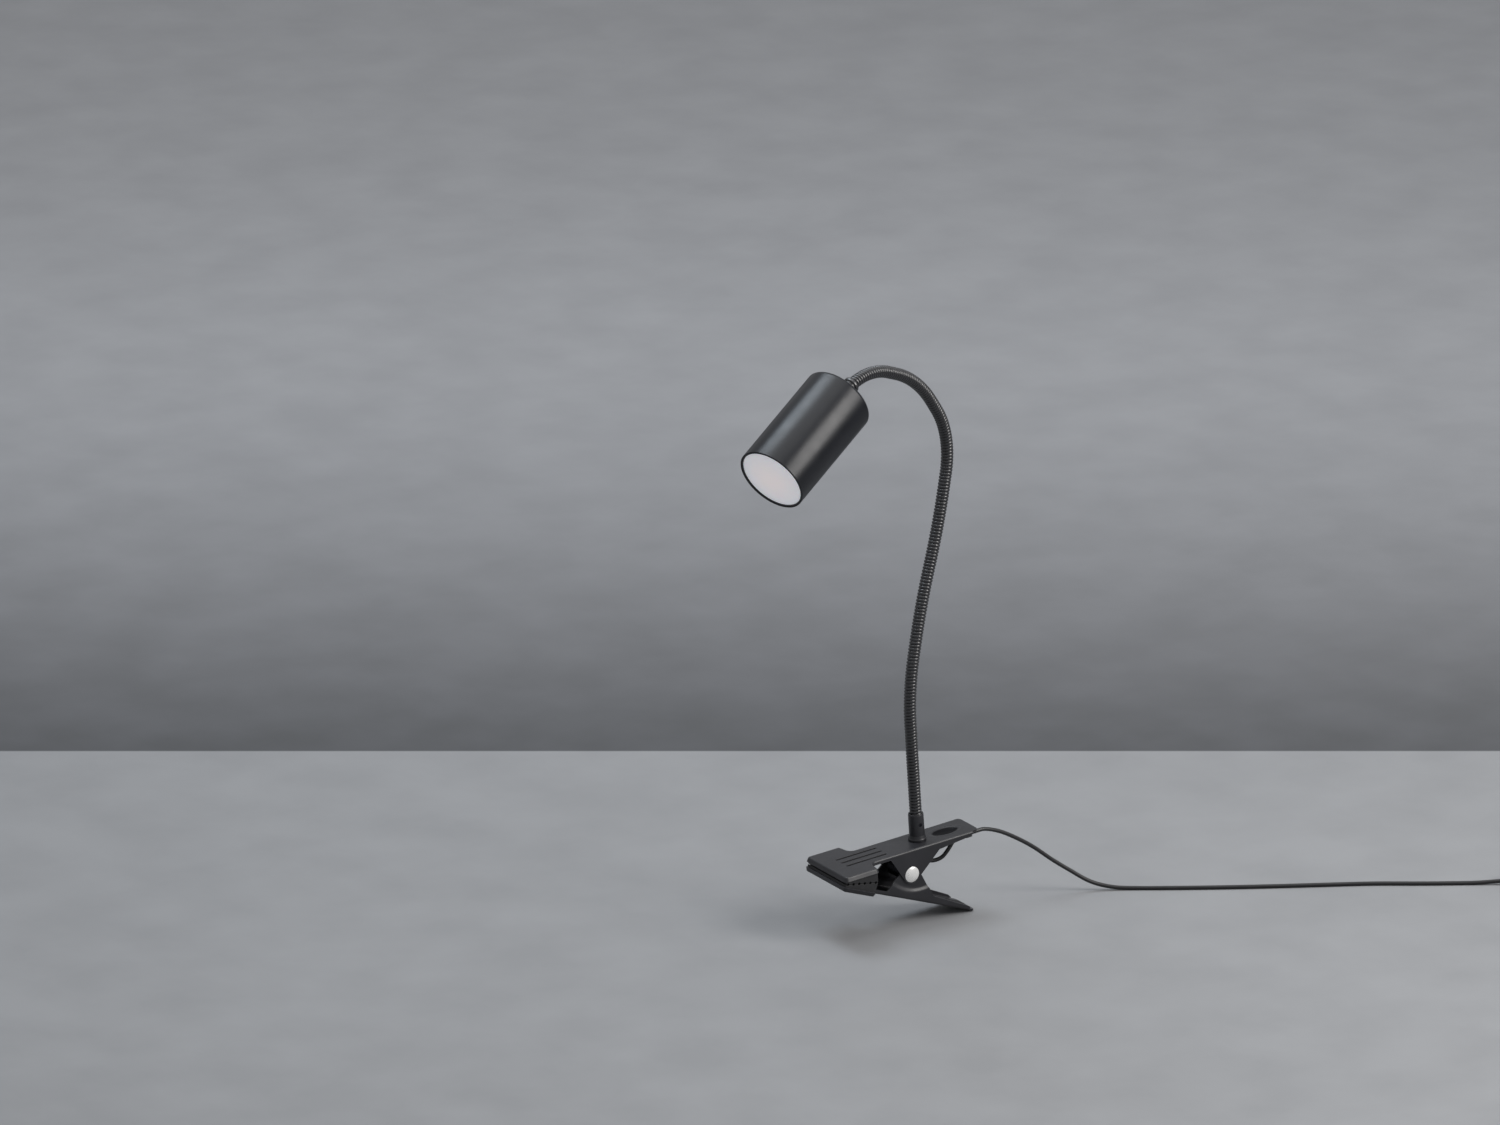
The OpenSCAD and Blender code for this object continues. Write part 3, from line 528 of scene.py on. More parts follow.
def tube(name, path, radius, place, slot, sides=16, caps=True):
    """A round bar along a path, with rounded ends."""
    verts = []
    faces = []
    side = None
    for i, point in enumerate(path):
        ahead = (path[min(i + 1, len(path) - 1)] - path[max(i - 1, 0)]).normalized()
        if side is None:
            side = ahead.orthogonal().normalized()
        side = (side - ahead * side.dot(ahead)).normalized()
        other = ahead.cross(side)
        for k in range(sides):
            a = 2 * math.pi * k / sides
            verts.append(point + radius * (math.cos(a) * side + math.sin(a) * other))
    for i in range(len(path) - 1):
        for k in range(sides):
            a = i * sides + k
            b = i * sides + (k + 1) % sides
            faces.append((a, b, b + sides, a + sides))
    if caps:
        faces.append(tuple(reversed(range(sides))))
        faces.append(tuple(range(len(verts) - sides, len(verts))))
    return build(name, verts, faces, place, slot, 50)


def prism(name, outline, low, high, place, slot, sharp=35):
    """A flat outline of (x, z) points drawn out along y from low to high."""
    n = len(outline)
    verts = [(x, y, z) for y in (low, high) for x, z in outline]
    faces = [(k, (k + 1) % n, n + (k + 1) % n, n + k) for k in range(n)]
    faces += [tuple(range(n)), tuple(range(n, 2 * n))]
    return build(name, verts, faces, place, slot, sharp)


def span(start, end, steps):
    return [start + (end - start) * i / steps for i in range(steps + 1)]


def step_between(low, high, x):
    """Smooth rise from 0 at low to 1 at high."""
    t = min(max((x - low) / (high - low), 0), 1)
    return t * t * (3 - 2 * t)


# ---------- lead ----------

LEAD_R = 1.5
FLOOR = -47.5                     # surface that the lead lies on
LEAD_FLOOR = FLOOR + LEAD_R
LEAD_EXIT = UPPER @ Vector((125, -9, -1.2 - 0.4 - LEAD_R)) / MM
COIL_AT = Vector((541, -201, 0))
COIL_OUT = 22                     # radius of the outer turn
COIL_STEP = 3.05
COIL_COLUMNS = 4
COIL_START = -120                 # direction in which the lead meets the coil, degrees
COIL_TURNS = 2 * COIL_COLUMNS - 2 / 3
LEAD_TOP = LEAD_FLOOR + COIL_STEP

LAMP_SIDE = [
    LEAD_EXIT, (116, -9, 13.1), (128, -9.5, 9.2), (142, -10.5, 1.6), (157, -12, -8.5),
    (171, -15, -20), (185, -19, -30.5), (199, -24.5, -40.2), (213, -32, -44.9),
    (228, -41, LEAD_FLOOR), (247, -53, LEAD_FLOOR), (270, -67, LEAD_FLOOR),
    (296, -82, LEAD_FLOOR), (323, -97, LEAD_FLOOR), (351, -112, LEAD_FLOOR),
    (380, -128, LEAD_FLOOR), (408, -146, LEAD_FLOOR), (436, -163, LEAD_FLOOR),
    (450, -171.5, LEAD_FLOOR + 0.6), (464, -180, LEAD_FLOOR + 2),
]
TO_COIL = [
    (503.3, -203.9, LEAD_FLOOR + 2), (509, -207.4, LEAD_FLOOR + 1), (516, -211.7, LEAD_FLOOR + 0.1),
    (523, -216, LEAD_FLOOR),
]
TO_PLUG = [
    (563.2, -193, LEAD_TOP - 0.5), (563.6, -186, LEAD_FLOOR + 1.2), (564, -179, LEAD_FLOOR + 1.6),
    (564, -172, LEAD_FLOOR + 2.4), (564, -166, LEAD_FLOOR + 2.5),
]


def coil_points():
    """Turns laid side by side inwards along the floor, then back outwards on top of those."""
    points = []
    per_turn = 24
    for i in range(round(COIL_TURNS * per_turn) + 1):
        turns = i / per_turn
        whole = int(turns)
        steps = whole + step_between(0.85, 1, turns - whole)
        column = min(steps, 2 * COIL_COLUMNS - 1 - steps, COIL_COLUMNS - 1)
        height = COIL_STEP * step_between(COIL_COLUMNS - 0.15, COIL_COLUMNS, turns)
        radius = COIL_OUT - COIL_STEP * max(column, 0)
        a = math.radians(COIL_START + 360 * turns)
        across = Vector((radius * math.cos(a), radius * math.sin(a), LEAD_FLOOR + height))
        points.append(COIL_AT + across)
    return points


def make_lead():
    """The free lead, from the handle's end past the switch and through the coil to the plug."""
    coil = coil_points()
    path = smooth_path(LAMP_SIDE, 6) + smooth_path(TO_COIL + [coil[0]], 4)[:-1]
    path += coil + smooth_path([coil[-1]] + TO_PLUG, 4)[1:]
    data = bpy.data.curves.new("lead", "CURVE")
    data.dimensions = "3D"
    data.bevel_depth = LEAD_R * MM
    data.bevel_resolution = 4
    data.use_fill_caps = True
    spline = data.splines.new("POLY")
    spline.points.add(len(path) - 1)
    for knot, point in zip(spline.points, path):
        knot.co = (*(Vector(point) * MM), 1)
    spline.use_smooth = True
    lead = bpy.data.objects.new("lead", data)
    scene.collection.objects.link(lead)
    paint(lead, "lead_black")
    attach(lead, "clamp")
    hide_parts("lead_1", "lead_2", "lead_3", "lead_coil")


# ---------- clamp arms ----------

SHEET = 1.2
FOLD = 1.6                   # outer radius of the folds
SQUARE = math.pi / 2         # angle through which the flanges are folded
FLARED = math.radians(66)    # angle through which the lips of the jaw head are folded
JAW_D = 30
HALF_JAW = 27
HALF_ARM = 14
UPPER_LEN = 125
LOWER_LEN = 131
JAW_CORNER = 3
NECK_FILLET = 5
END_CORNER = 5
LIP = 3.2
EAR_FRONT = (48, 3.2)    # place and depth of the ear's front foot
EAR_BACK = (90, 6)
EAR_R = 7
FLANGE_END = 3           # flange depth at the handle end
EDGE = 0.5               # least width folded over at the ends of a flange
FOLD_STEPS = 6
SIDE_STEPS = 24


def touch(point, centre, r, side):
    """Point of a circle where the line from point touches it."""
    away = Vector(point) - Vector(centre)
    a = math.atan2(away.y, away.x) + side * math.acos(r / away.length)
    return Vector(centre) + r * Vector((math.cos(a), math.sin(a)))


def line_at(a, b, x):
    return a[1] + (b[1] - a[1]) * (x - a[0]) / (b[0] - a[0])


EAR = (PIVOT_BACK, PIVOT_DROP)
EAR_TOUCH_FRONT = touch(EAR_FRONT, EAR, EAR_R, -1)
EAR_TOUCH_BACK = touch(EAR_BACK, EAR, EAR_R, 1)


def flange_depth(x, length):
    """Depth of the side flange below the arm's outer face, x behind the jaw front."""
    if x < EAR_FRONT[0]:
        return LIP
    if x < EAR_TOUCH_FRONT.x:
        return line_at(EAR_FRONT, EAR_TOUCH_FRONT, x)
    if x < EAR_TOUCH_BACK.x:
        return PIVOT_DROP + math.sqrt(EAR_R ** 2 - (x - PIVOT_BACK) ** 2)
    if x < EAR_BACK[0]:
        return line_at(EAR_TOUCH_BACK, EAR_BACK, x)
    end = length - END_CORNER
    depth = line_at(EAR_BACK, (end, FLANGE_END), x)
    return depth * math.sqrt(max(1 - (max(x - end + 3, 0) / 3) ** 2, 0))


def folded_length(depth, angle=SQUARE):
    """Width of sheet that a fold of this depth takes, from where the fold starts."""
    round_depth = FOLD * (1 - math.cos(angle))
    if depth >= round_depth:
        return FOLD * angle + (depth - round_depth) / math.sin(angle)
    return FOLD * math.acos(1 - depth / FOLD)


def folded_place(reach, angle):
    """How far out and how deep the sheet is, reach mm beyond the fold line."""
    bent = min(reach, FOLD * angle) / FOLD
    flat = max(reach - FOLD * angle, 0)
    return (FOLD * math.sin(bent) + flat * math.cos(angle),
            FOLD * (1 - math.cos(bent)) + flat * math.sin(angle))


def arc(centre, r, start, end, steps):
    """Points and outward directions along an arc; angles in degrees."""
    made = []
    for i in range(steps + 1):
        a = math.radians(start + (end - start) * i / steps)
        way = Vector((math.cos(a), math.sin(a)))
        made.append((Vector(centre) + r * way, way))
    return made


def arm_edge(length):
    """Half of an arm's fold line, from the middle of the jaw front to the middle of the handle's
    end, as (point, outward direction, fold angle or 0 if flat, width of sheet beyond the line)."""
    lip = folded_length(LIP, FLARED)
    inset = folded_place(lip, FLARED)[0]
    inner = HALF_JAW - inset
    rows = [(Vector((inset, y)), Vector((-1, 0))) for y in span(0, HALF_JAW - JAW_CORNER, 12)]
    rows += arc((JAW_CORNER, HALF_JAW - JAW_CORNER), JAW_CORNER - inset, 180, 90, 8)[1:]
    rows += [(Vector((x, inner)), Vector((0, 1)))
             for x in span(JAW_CORNER, JAW_D - JAW_CORNER, 22)[1:]]
    rows += arc((JAW_D - JAW_CORNER, HALF_JAW - JAW_CORNER), JAW_CORNER - inset, 90, 0, 8)[1:]
    edge = [(p, d, FLARED, lip) for p, d in rows]
    fillet = (JAW_D + NECK_FILLET, HALF_ARM + NECK_FILLET)
    for i, y in enumerate(span(HALF_JAW - JAW_CORNER, fillet[1], 6)[1:]):
        angle = FLARED + (SQUARE - FLARED) * (i + 1) / 6
        width = folded_length(LIP, angle)
        at = Vector((JAW_D - folded_place(width, angle)[0], y))
        edge.append((at, Vector((1, 0)), angle, width))
    edge += [(p, -d, SQUARE, folded_length(LIP))
             for p, d in arc(fillet, NECK_FILLET + FOLD, 180, 270, 24)[1:]]
    end = length - END_CORNER
    for x in span(fillet[0], end, 170)[1:]:
        edge.append((Vector((x, HALF_ARM - FOLD)), Vector((0, 1)), SQUARE,
                     max(folded_length(flange_depth(x, length)), EDGE)))
    corner = (end, HALF_ARM - END_CORNER)
    for i, (p, d) in enumerate(arc(corner, END_CORNER - FOLD, 90, 0, 12)[1:]):
        edge.append((p, d, 0, EDGE + (FOLD - EDGE) * step_between(0, 5, i)))
    edge += [(Vector((length - FOLD, y)), Vector((1, 0)), 0, FOLD)
             for y in span(HALF_ARM - END_CORNER, 0, 6)[1:]]
    return edge


GROOVE_X = (15, 48)
GROOVE_PITCH = 7
GROOVE_HALF = 1.6
GROOVE_DEPTH = 1.0
REST = (104, 0)              # middle of the finger rest
REST_HALF = (13, 6.6)        # half its length and half its width
REST_DEPTH = 1.5
REST_RIM = 0.18              # height of the rim raised round it


def plate_height(x, y):
    """Height of the pressed grooves and finger rest above the arm's flat outer face."""
    row = round(y / GROOVE_PITCH)
    if abs(row) <= 1:
        beyond = max(GROOVE_X[0] - x, x - GROOVE_X[1], 0)
        off = math.hypot(beyond, y - row * GROOVE_PITCH) / GROOVE_HALF
        if off < 1:
            return -GROOVE_DEPTH * (1 - step_between(0.1, 1, off))
    off = math.hypot((x - REST[0]) / REST_HALF[0], (y - REST[1]) / REST_HALF[1])
    dish = -REST_DEPTH * (1 - step_between(0.45, 1, off))
    return dish + REST_RIM * math.exp(-((off - 1.1) / 0.09) ** 2)


def plate_points():
    """Points inside the plate, close together only where it is pressed out of flat."""
    points = []
    for row in (-1, 0, 1):
        for x in span(GROOVE_X[0] - 1.5, GROOVE_X[1] + 1.5, 40):
            for y in span(-1.9, 1.9, 18):
                points.append(Vector((x, row * GROOVE_PITCH + y)))
    for off in (0.25, 0.5, 0.6, 0.7, 0.8, 0.9, 1.0, 1.04, 1.1, 1.16, 1.24, 1.35):
        for i in range(56):
            a = 2 * math.pi * i / 56
            points.append(Vector((REST[0] + off * REST_HALF[0] * math.cos(a),
                                  REST[1] + off * REST_HALF[1] * math.sin(a))))
    return points + [Vector(REST)]


EAR_INSET = 1.5              # how far a lower ear is stepped in to pass inside an upper one
STEP_HALF = 1.6              # half the depth over which the step is spread
STEP_TOP = (66, 7.2)         # place and depth of the top of the step's curve


def band_depth(x):
    """Depth of the middle of the step in a lower ear."""
    away = x - STEP_TOP[0]
    return STEP_TOP[1] + (0.012 if away < 0 else 0.018) * away * away


def folded_point(point, way, angle, reach, stepped):
    """Place on the sheet, reach mm beyond the fold line."""
    if angle == 0:
        flat = point + way * reach
        return Vector((flat.x, flat.y, plate_height(point.x, point.y)))
    out, depth = folded_place(reach, angle)
    if stepped and EAR_FRONT[0] - 6 < point.x < EAR_BACK[0] + 4:
        middle = band_depth(point.x)
        out -= EAR_INSET * step_between(middle - STEP_HALF, middle + STEP_HALF, depth)
    place = point + way * out
    return Vector((place.x, place.y, -depth))


def reaches_of(angle, width):
    """Distances beyond the fold line at which the folded sheet has a row of corners."""
    bend = min(width, FOLD * angle) if angle else width * FOLD_STEPS / (FOLD_STEPS + SIDE_STEPS)
    if width <= bend:
        return span(0, width, FOLD_STEPS + SIDE_STEPS)[1:]
    return span(0, bend, FOLD_STEPS)[1:] + span(bend, width, SIDE_STEPS)[1:]


def make_arm(name, length, place, stepped, body):
    """A pressed arm: its flat plate, then rows of faces folded down from the plate's edge."""
    half = arm_edge(length)
    mirrored = [(Vector((p.x, -p.y)), Vector((d.x, -d.y)), angle, width)
                for p, d, angle, width in reversed(half[1:-1])]
    edge = half + mirrored
    loop = [e[0] for e in edge]
    around = list(range(len(loop)))
    flat = geometry.delaunay_2d_cdt(loop + plate_points(), [], [around], 1, 1e-4)
    verts = [Vector((p.x, p.y, plate_height(p.x, p.y))) for p in flat[0]]
    faces = [tuple(f) for f in flat[2]]
    on_loop = {source: i for i, sources in enumerate(flat[3])
               for source in sources if source < len(loop)}
    columns = []
    for i, (point, way, angle, width) in enumerate(edge):
        column = [on_loop[i]]
        for reach in reaches_of(angle, width):
            column.append(len(verts))
            verts.append(folded_point(point, way, angle, reach, stepped))
        columns.append(column)
    for i, column in enumerate(columns):
        after = columns[(i + 1) % len(columns)]
        faces += [(column[k], column[k + 1], after[k + 1], after[k])
                  for k in range(len(column) - 1)]
    arm = build(f"{name}_sheet", verts, faces, place, "black_steel", 60)
    outside = place.to_3x3() @ Vector((0, 0, 1))
    if max(arm.data.polygons, key=lambda f: f.area).normal.dot(outside) < 0:
        arm.data.flip_normals()
    sheet = arm.modifiers.new("sheet", "SOLIDIFY")
    sheet.thickness = SHEET * MM
    sheet.offset = -1
    sheet.use_even_offset = False
    soften(arm, 0.28, 2, 60)
    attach(arm, body)
    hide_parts(name)


# ---------- pads, pin and spring ----------

TOOTH_PITCH = 4.75
TOOTH_DEPTH = 1.0
FIRST_TOOTH = 1.5        # from the front of the pad
PAD_X = (1.4, 28.6)
PAD_HALF = 25.6


def pad_face(x):
    """Height of the plane where the two pads meet, x behind the jaw front."""
    half_angle = math.radians((UPPER_TILT + LOWER_TILT) / 2)
    return -PIVOT_DROP + (PIVOT_BACK - x) * math.tan(half_angle) + 0.15 / math.cos(half_angle)


def make_pad(name, place, body):
    gap = 0.05
    outline = [Vector((PAD_X[0], -SHEET - gap))]
    for x in span(PAD_X[0], PAD_X[1], 112):
        away = abs((x - PAD_X[0] - FIRST_TOOTH + TOOTH_PITCH / 2) % TOOTH_PITCH - TOOTH_PITCH / 2)
        cut = TOOTH_DEPTH * (0.5 + 0.5 * math.cos(math.pi * min(away / 1.1, 1)))
        edge = min(x - PAD_X[0], PAD_X[1] - x)
        round_off = 0.5 * (1 - min(edge / 0.6, 1)) ** 2
        outline.append(Vector((x, pad_face(x) + cut + round_off)))
    outline.append(Vector((PAD_X[1], -SHEET - gap)))
    pad = prism(f"{name}_rubber", outline, -PAD_HALF, PAD_HALF, place, "pad_rubber", 50)
    soften(pad, 0.45, 3, 60)
    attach(pad, body)
    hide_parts(name)


PIN_HEAD_R = 5.9


def make_pin():
    """Pivot pin with two domed, formed heads."""
    dome = [(0, 15.5), (1.5, 15.44), (3, 15.23), (4.3, 14.92), (5.3, 14.55), (PIN_HEAD_R, 14.25)]
    half = dome + rounded([(PIN_HEAD_R, 14.25), (PIN_HEAD_R, 14.0), (2, 14.0)], 0.08, 2, False)[1:]
    outline = half + [(r, -z) for r, z in reversed(half)]
    pin = lathe("pivot_rivet", outline, PIVOT @ turn(90, "X"), "rivet_nickel", 96, False, 40)
    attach(pin, "clamp")
    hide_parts("pivot_pin")


SPRING_R = 6
SPRING_WIRE_R = 0.85
SPRING_ENDS = (8.95, -8.95)      # y of the leg on the upper arm and of the leg on the lower arm
LEG_REACH = 31
LEG_TIP = 16.6                   # height of a leg's tip from the pivot, square to its arm


def make_spring():
    """Torsion spring: one leg bears on the upper handle, the other on the lower one."""
    start = 90 + UPPER_TILT
    end = 270 - LOWER_TILT
    turns = 8 * 360 + end - start        # in degrees
    steps = 216
    high = [Vector((LEG_REACH * t, SPRING_ENDS[0], SPRING_R + (LEG_TIP - SPRING_R) * t))
            for t in span(1, 0.15, 8)]
    low = [Vector((LEG_REACH * t, SPRING_ENDS[1], -SPRING_R - (LEG_TIP - SPRING_R) * t))
           for t in span(0.15, 1, 8)]
    path = [turn(-UPPER_TILT, "Y") @ p for p in high]
    for f in span(0, 1, steps):
        a = math.radians(start + turns * f)
        y = SPRING_ENDS[0] + (SPRING_ENDS[1] - SPRING_ENDS[0]) * f
        path.append(Vector((SPRING_R * math.cos(a), y, SPRING_R * math.sin(a))))
    path += [turn(LOWER_TILT, "Y") @ p for p in low]
    spring = tube("torsion_coil", path, SPRING_WIRE_R, PIVOT, "spring_black", 12)
    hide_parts("torsion_spring", "spring_leg")
    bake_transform(spring)


# ---------- socket and gooseneck ----------

HOSE_R = 4.6
SCREW_H = 13             # height of the set screw above the arm
SCREW_HOLE_R = 1.7


def make_socket():
    """The sleeve that holds the hose, with the threaded hole of its set screw."""
    outline = [(2.6, 0), (6.7, 0), (6.7, 1.6), (6.3, 2.4), (6.1, 3.2), (5.75, 4.4), (5.7, 20.0),
               (5.45, 21), (4.65, 21), (4.65, 8), (2.6, 8)]
    radii = [0, 0.3, 0.5, 0.4, 1.2, 2, 0.5, 0.3, 0.2, 0.1, 0]
    socket = lathe("neck_socket", rounded(outline, radii, 4), SOCKET, "black_steel", 96)
    drill = lathe("drill", [(0, -5), (SCREW_HOLE_R, -5), (SCREW_HOLE_R, -8), (0, -8)],
                  SOCKET @ shift(0, 0, SCREW_H) @ turn(-90, "X"), "black_steel", 32, False)
    hole = socket.modifiers.new("hole", "BOOLEAN")
    hole.object = drill
    hole.solver = "EXACT"
    settle(socket)
    smooth_by_angle(socket.data, 35)
    bpy.data.objects.remove(drill)
    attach(socket, "clamp")
    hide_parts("socket")


RIB_PITCH = 2.4
RIB_DEPTH = 0.85
RIB_STEPS = 8            # rings to a rib
HOSE_SIDES = 32
HOSE_START = -2
HOSE_END = 439
NECK_JOINTS = ["neck_low", "neck_side", "neck_low_2", "neck_high", "neck_high_2", "neck_high_3"]


def rib_radius(step):
    """Radius of the strip-wound hose, step rings past the bottom of a valley."""
    t = 2 * (step % RIB_STEPS) / RIB_STEPS - 1
    return HOSE_R - RIB_DEPTH * (1 - math.sqrt(max(1 - t * t, 0)))


def make_hose():
    """The spiral hose, cut at valleys of its ribs into one piece for each joint of the neck."""
    step = RIB_PITCH / RIB_STEPS
    cuts = [HOSE_START] + [HOSE_LEN * (k + 0.5) for k in range(1, len(NECK_JOINTS))] + [HOSE_END]
    for k, name in enumerate(NECK_JOINTS):
        first = round((cuts[k] - HOSE_START) / RIB_PITCH) * RIB_STEPS
        last = round((cuts[k + 1] - HOSE_START) / RIB_PITCH) * RIB_STEPS
        rings = last - first + RIB_STEPS
        verts = []
        for i in range(rings + 1):
            for j in range(HOSE_SIDES):
                f = j / HOSE_SIDES
                if i == rings and j > 0:
                    continue
                place = hose_frame(HOSE_START + (first + i + RIB_STEPS * f) * step)
                r = rib_radius(i)
                a = 2 * math.pi * f
                verts.append(place @ Vector((r * math.cos(a), r * math.sin(a), 0)))
        faces = []
        for i in range(last - first):
            for j in range(HOSE_SIDES):
                here = i * HOSE_SIDES + j
                wrap = RIB_STEPS * HOSE_SIDES - HOSE_SIDES if j == HOSE_SIDES - 1 else 0
                beside = here + 1 + wrap
                faces.append((here, beside, beside + HOSE_SIDES, here + HOSE_SIDES))
        piece = build(f"gooseneck_{k + 1}", verts, faces, Matrix.Identity(4), "hose_black",
                      180, False)
        if k == 0:
            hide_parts("hose_1", "hose_2")
        else:
            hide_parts(f"hose_{k + 2}")
        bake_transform(piece)


# ---------- lamp head ----------

SHADE_R = 26.5
SHADE_LEN = 89


def make_collar():
    """Sleeve over the end of the hose, with a rolled rim."""
    # (distance back from the hose's end, radius)
    outline = [(-12, 2.9), (-12, 5.5), (0, 5.5), (0, 6.3), (0.6, 6.3), (0.9, 5.6), (12.6, 5.4),
               (13.1, 5.9), (13.5, 6.2), (15.3, 6.2), (15.7, 5.9), (15.9, 5.2), (15.8, 4.3), (2, 4.3),
               (2, 2.9)]
    fine = []
    for (s, r), (s_next, r_next) in zip(outline, outline[1:]):
        steps = max(round(abs(s_next - s) / 1.5), 1)
        fine += list(zip(span(s, s_next, steps), span(r, r_next, steps)))[:-1]
    fine.append(outline[-1])
    sides = 64
    hose_end = HOSE_LEN * len(HOSE_BENDS)
    verts = []
    for s, r in fine:
        place = HEAD @ shift(0, 0, -s) if s <= 0 else hose_frame(hose_end - s)
        for k in range(sides):
            a = 2 * math.pi * k / sides
            verts.append(place @ Vector((r * math.cos(a), r * math.sin(a), 0)))
    faces = []
    for i in range(len(fine)):
        here = i * sides
        there = (i + 1) % len(fine) * sides
        faces += [(here + k, there + k, there + (k + 1) % sides, here + (k + 1) % sides)
                  for k in range(sides)]
    return build("neck_collar", verts, faces, Matrix.Identity(4), "hose_black", 40)


def make_head():
    shade = [(5.6, 0), (SHADE_R, 0), (SHADE_R, SHADE_LEN), (SHADE_R - 1, SHADE_LEN),
             (SHADE_R - 1, 1.2), (5.6, 1.2)]
    ring = [(24.6, 86.5), (25.45, 86.5), (25.45, 88.8), (24.6, 88.8)]
    lens = [(0, 84.5), (25.2, 84.5), (25.2, 86.45), (24.55, 86.45), (24.55, 87.9), (23.9, 88.2),
            (16, 88.3), (8, 88.36), (0, 88.4)]
    pieces = [
        lathe("shade_can", rounded(shade, [0.2, 3, 0.42, 0.25, 2, 0.1], 6), HEAD,
              "shade_black", 192),
        lathe("front_bezel", rounded(ring, [0.05, 0.1, 0.4, 0.5], 4), HEAD,
              "bezel_black", 160),
        lathe("diffuser_lens", lens, HEAD, "diffuser_white", 128, False, 60),
        make_collar(),
    ]
    for piece, node in zip(pieces, ("shade", "front_ring", "diffuser", "head_nipple")):
        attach(piece, "head")
        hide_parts(node)


# ---------- lead under the handle ----------

INNER_LEAD = [
    (80, 0, -8.2), (80.5, -0.3, -12), (84, -2, -16.2), (90, -4, -18.2), (96, -6, -16.8),
    (100, -7.6, -12.6), (103, -8.8, -8), (106, -9, -4.6), (109, -9, -3.3), (112, -9, -3.1),
    (115, -9, -3.1), (120, -9, -3.1), (125, -9, -3.1),
]


def make_inner_lead():
    inner = tube("handle_lead", smooth_path(INNER_LEAD, 8), LEAD_R, UPPER, "lead_black", 20)
    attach(inner, "clamp")
    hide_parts("inner_lead")


# ---------- CAD pieces that stay ----------

KEPT = {
    "zinc_steel": ["spring_sleeve", "socket_nipple", "socket_washer", "socket_nut", "head_washer",
                   "head_nut", "led_screws", "driver_screws", "switch_screws"],
    "spring_black": ["set_screw"],
    "wire_red": [f"wire_{k}" for k in range(1, 8)] + ["head_wires"],
    "reflector_white": ["reflector"],
    "board_white": ["led_board"],
    "led_yellow": ["led_chips"],
    "sink_aluminium": ["heat_sink"],
    "board_green": ["driver_board"],
    "parts_dark": ["driver_parts"],
    "clip_black": ["lead_clip", "lead_tie"],
    "switch_black": ["switch_base", "switch_cover", "plug_grip"],
    "rocker_grey": ["switch_rocker"],
    "contact_brass": ["switch_contacts"],
    "shell_nickel": ["plug_shell"],
    "tongue_white": ["plug_tongue"],
}
SOFT_EDGES = {
    "switch_base": 0.6, "switch_cover": 0.5, "switch_rocker": 0.35, "plug_grip": 0.7,
    "plug_shell": 0.12, "plug_tongue": 0.2, "lead_clip": 0.35, "lead_tie": 0.3,
    "socket_nut": 0.3, "head_nut": 0.3,
}


def dress_kept_nodes():
    """Gives the CAD pieces that stay their materials, and some of them softer edges."""
    for slot, names in KEPT.items():
        for name in names:
            nodes[name].data.materials.clear()
            nodes[name].data.materials.append(MATERIALS[slot])
            if name in SOFT_EDGES:
                soften(nodes[name], SOFT_EDGES[name], 3, 35)


# ---------- studio ----------

def area_light(name, place, target, size, power, colour):
    data = bpy.data.lights.new(name, "AREA")
    data.shape = "RECTANGLE"
    data.size, data.size_y = size
    data.energy = power
    data.color = colour
    light = bpy.data.objects.new(name, data)
    light.location = place
    light.rotation_mode = "QUATERNION"
    light.rotation_quaternion = (Vector(target) - Vector(place)).to_track_quat("-Z", "Y")
    light.visible_camera = False
    scene.collection.objects.link(light)


BEHIND = Vector((0.5415, 0.8406, 0))       # level direction away from the camera
DARK_LINE = 0.377                          # where the ground turns dark, metres along BEHIND
FLOOR_HALF = 60


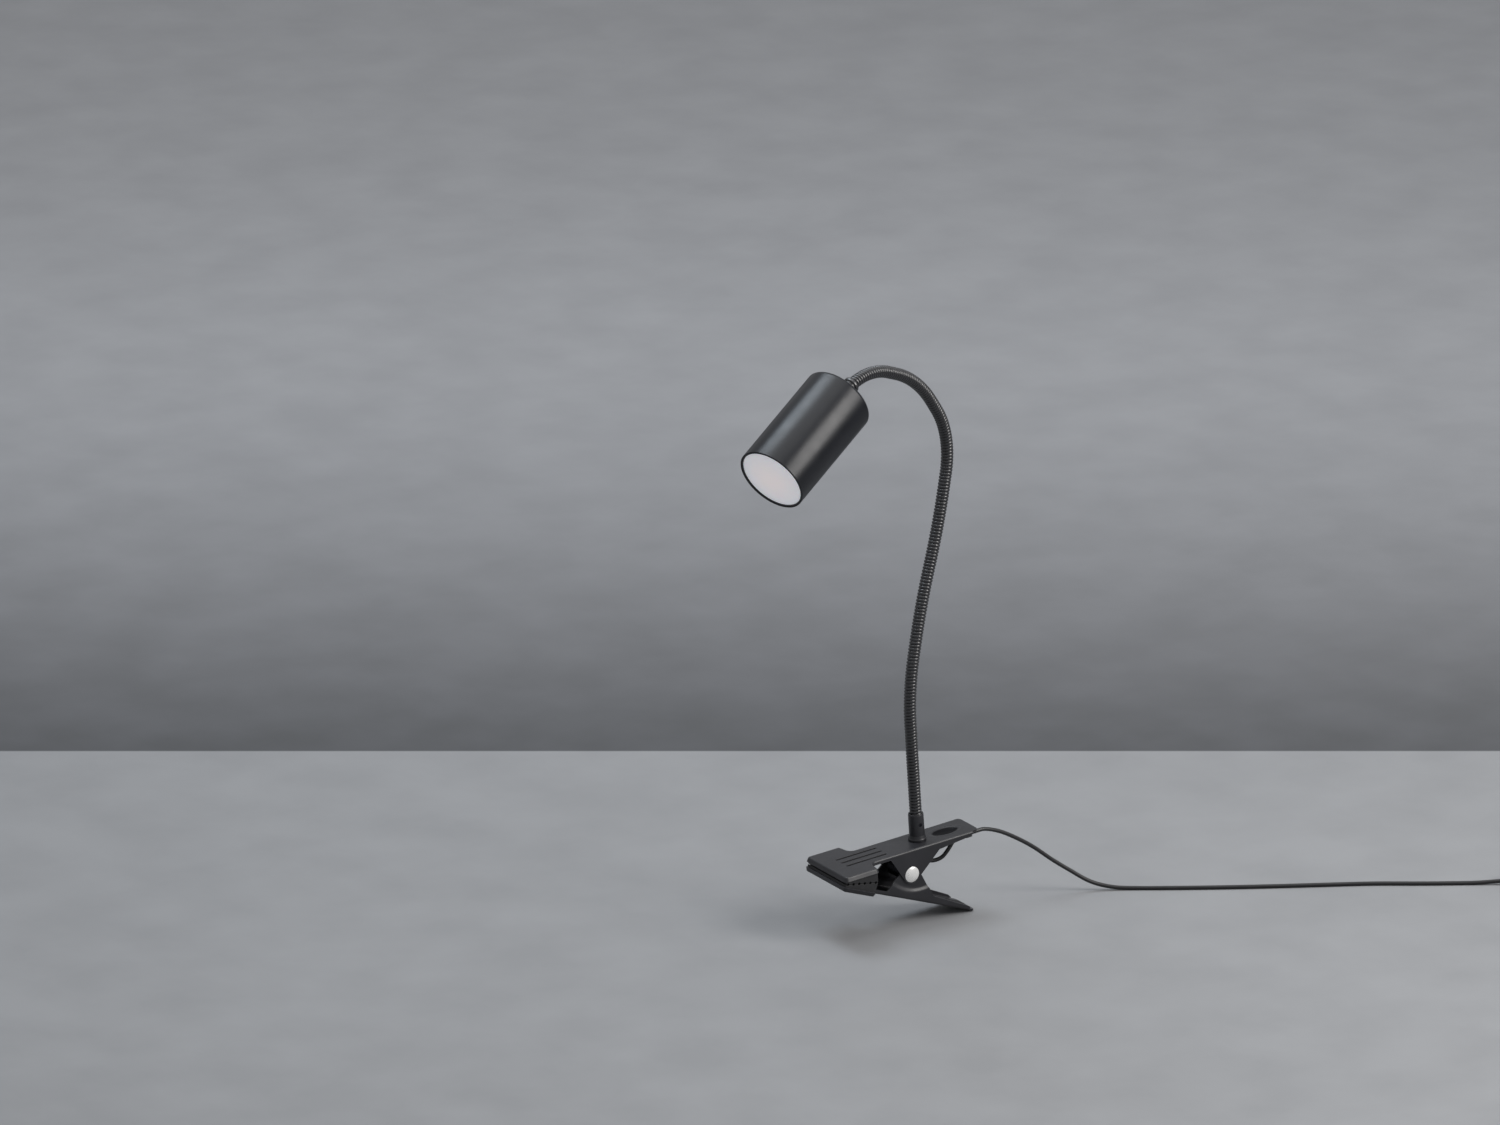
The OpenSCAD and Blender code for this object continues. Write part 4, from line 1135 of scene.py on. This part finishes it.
def make_floor():
    """A wide ground: mid grey round the lamp, with painted shade behind it, dark from a line on and
    lighter beyond.
    """
    mesh = bpy.data.meshes.new("floor")
    corners = [(x * FLOOR_HALF, y * FLOOR_HALF, FLOOR * MM)
               for x, y in ((-1, -1), (1, -1), (1, 1), (-1, 1))]
    mesh.from_pydata(corners, [], [(0, 1, 2, 3)])
    floor = bpy.data.objects.new("floor", mesh)
    scene.collection.objects.link(floor)
    look = Look("floor")
    away = look.node("VectorMath", operation="DOT_PRODUCT")
    look.link(look.place, away.inputs[0])
    away.inputs[1].default_value = BEHIND
    near = look.mottle("#868789", "#8c8d8f", 60, 5)
    # Painted shade: the ground turns dark at DARK_LINE and grows lighter further off, as at the foot
    # of a backdrop.
    dark = look.mottle("#3f4042", "#46474a", 60, 5)
    far = look.mottle("#96979a", "#9d9ea1", 60, 5)
    rise = look.node("MapRange", interpolation_type="SMOOTHSTEP")
    rise.inputs["From Min"].default_value = DARK_LINE - 0.25
    rise.inputs["From Max"].default_value = DARK_LINE + 1.0
    look.link(away.outputs["Value"], rise.inputs["Value"])
    beyond = look.mix(rise.outputs["Result"], dark, far)
    line = look.spread(away.outputs["Value"], 0, 1, DARK_LINE - 0.001, DARK_LINE + 0.001)
    look.link(look.mix(line, near, beyond), look.shader.inputs["Base Color"])
    look.shader.inputs["Roughness"].default_value = 0.8
    look.shader.inputs["Specular IOR Level"].default_value = 0.2
    floor.data.materials.append(look.material)


def make_lights():
    head = HEAD @ Vector((0, 0, 45))
    overhead = Vector((-0.034, 0.471, 0.881)).normalized()
    front_right = Vector((0.598, -0.669, 0.441)).normalized()
    area_light("cool_strip", head + overhead * 1.6, head, (0.5, 0.9), 11, (0.80, 0.90, 1.0))
    area_light("warm_strip", head + front_right * 1.8, head, (0.7, 1.1), 26, (1.0, 0.98, 0.96))
    area_light("wide_top", (0.2, 0.1, 2.6), (0.1, 0, 0), (2.4, 2.4), 30, (1, 1, 1))
    world = bpy.data.worlds.new("studio")
    world.use_nodes = True
    world.node_tree.nodes["Background"].inputs["Color"].default_value = (0.97, 0.98, 1.0, 1)
    world.node_tree.nodes["Background"].inputs["Strength"].default_value = 0.42
    scene.world = world
    scene.view_settings.view_transform = "Standard"


make_camera()
make_lead()
make_arm("upper_arm", UPPER_LEN, UPPER, False, "clamp")
make_arm("lower_arm", LOWER_LEN, LOWER, True, "lower_jaw")
make_pad("upper_pad", UPPER, "clamp")
make_pad("lower_pad", LOWER, "lower_jaw")
make_pin()
make_spring()
make_socket()
make_hose()
make_head()
make_inner_lead()
dress_kept_nodes()
make_floor()
make_lights()
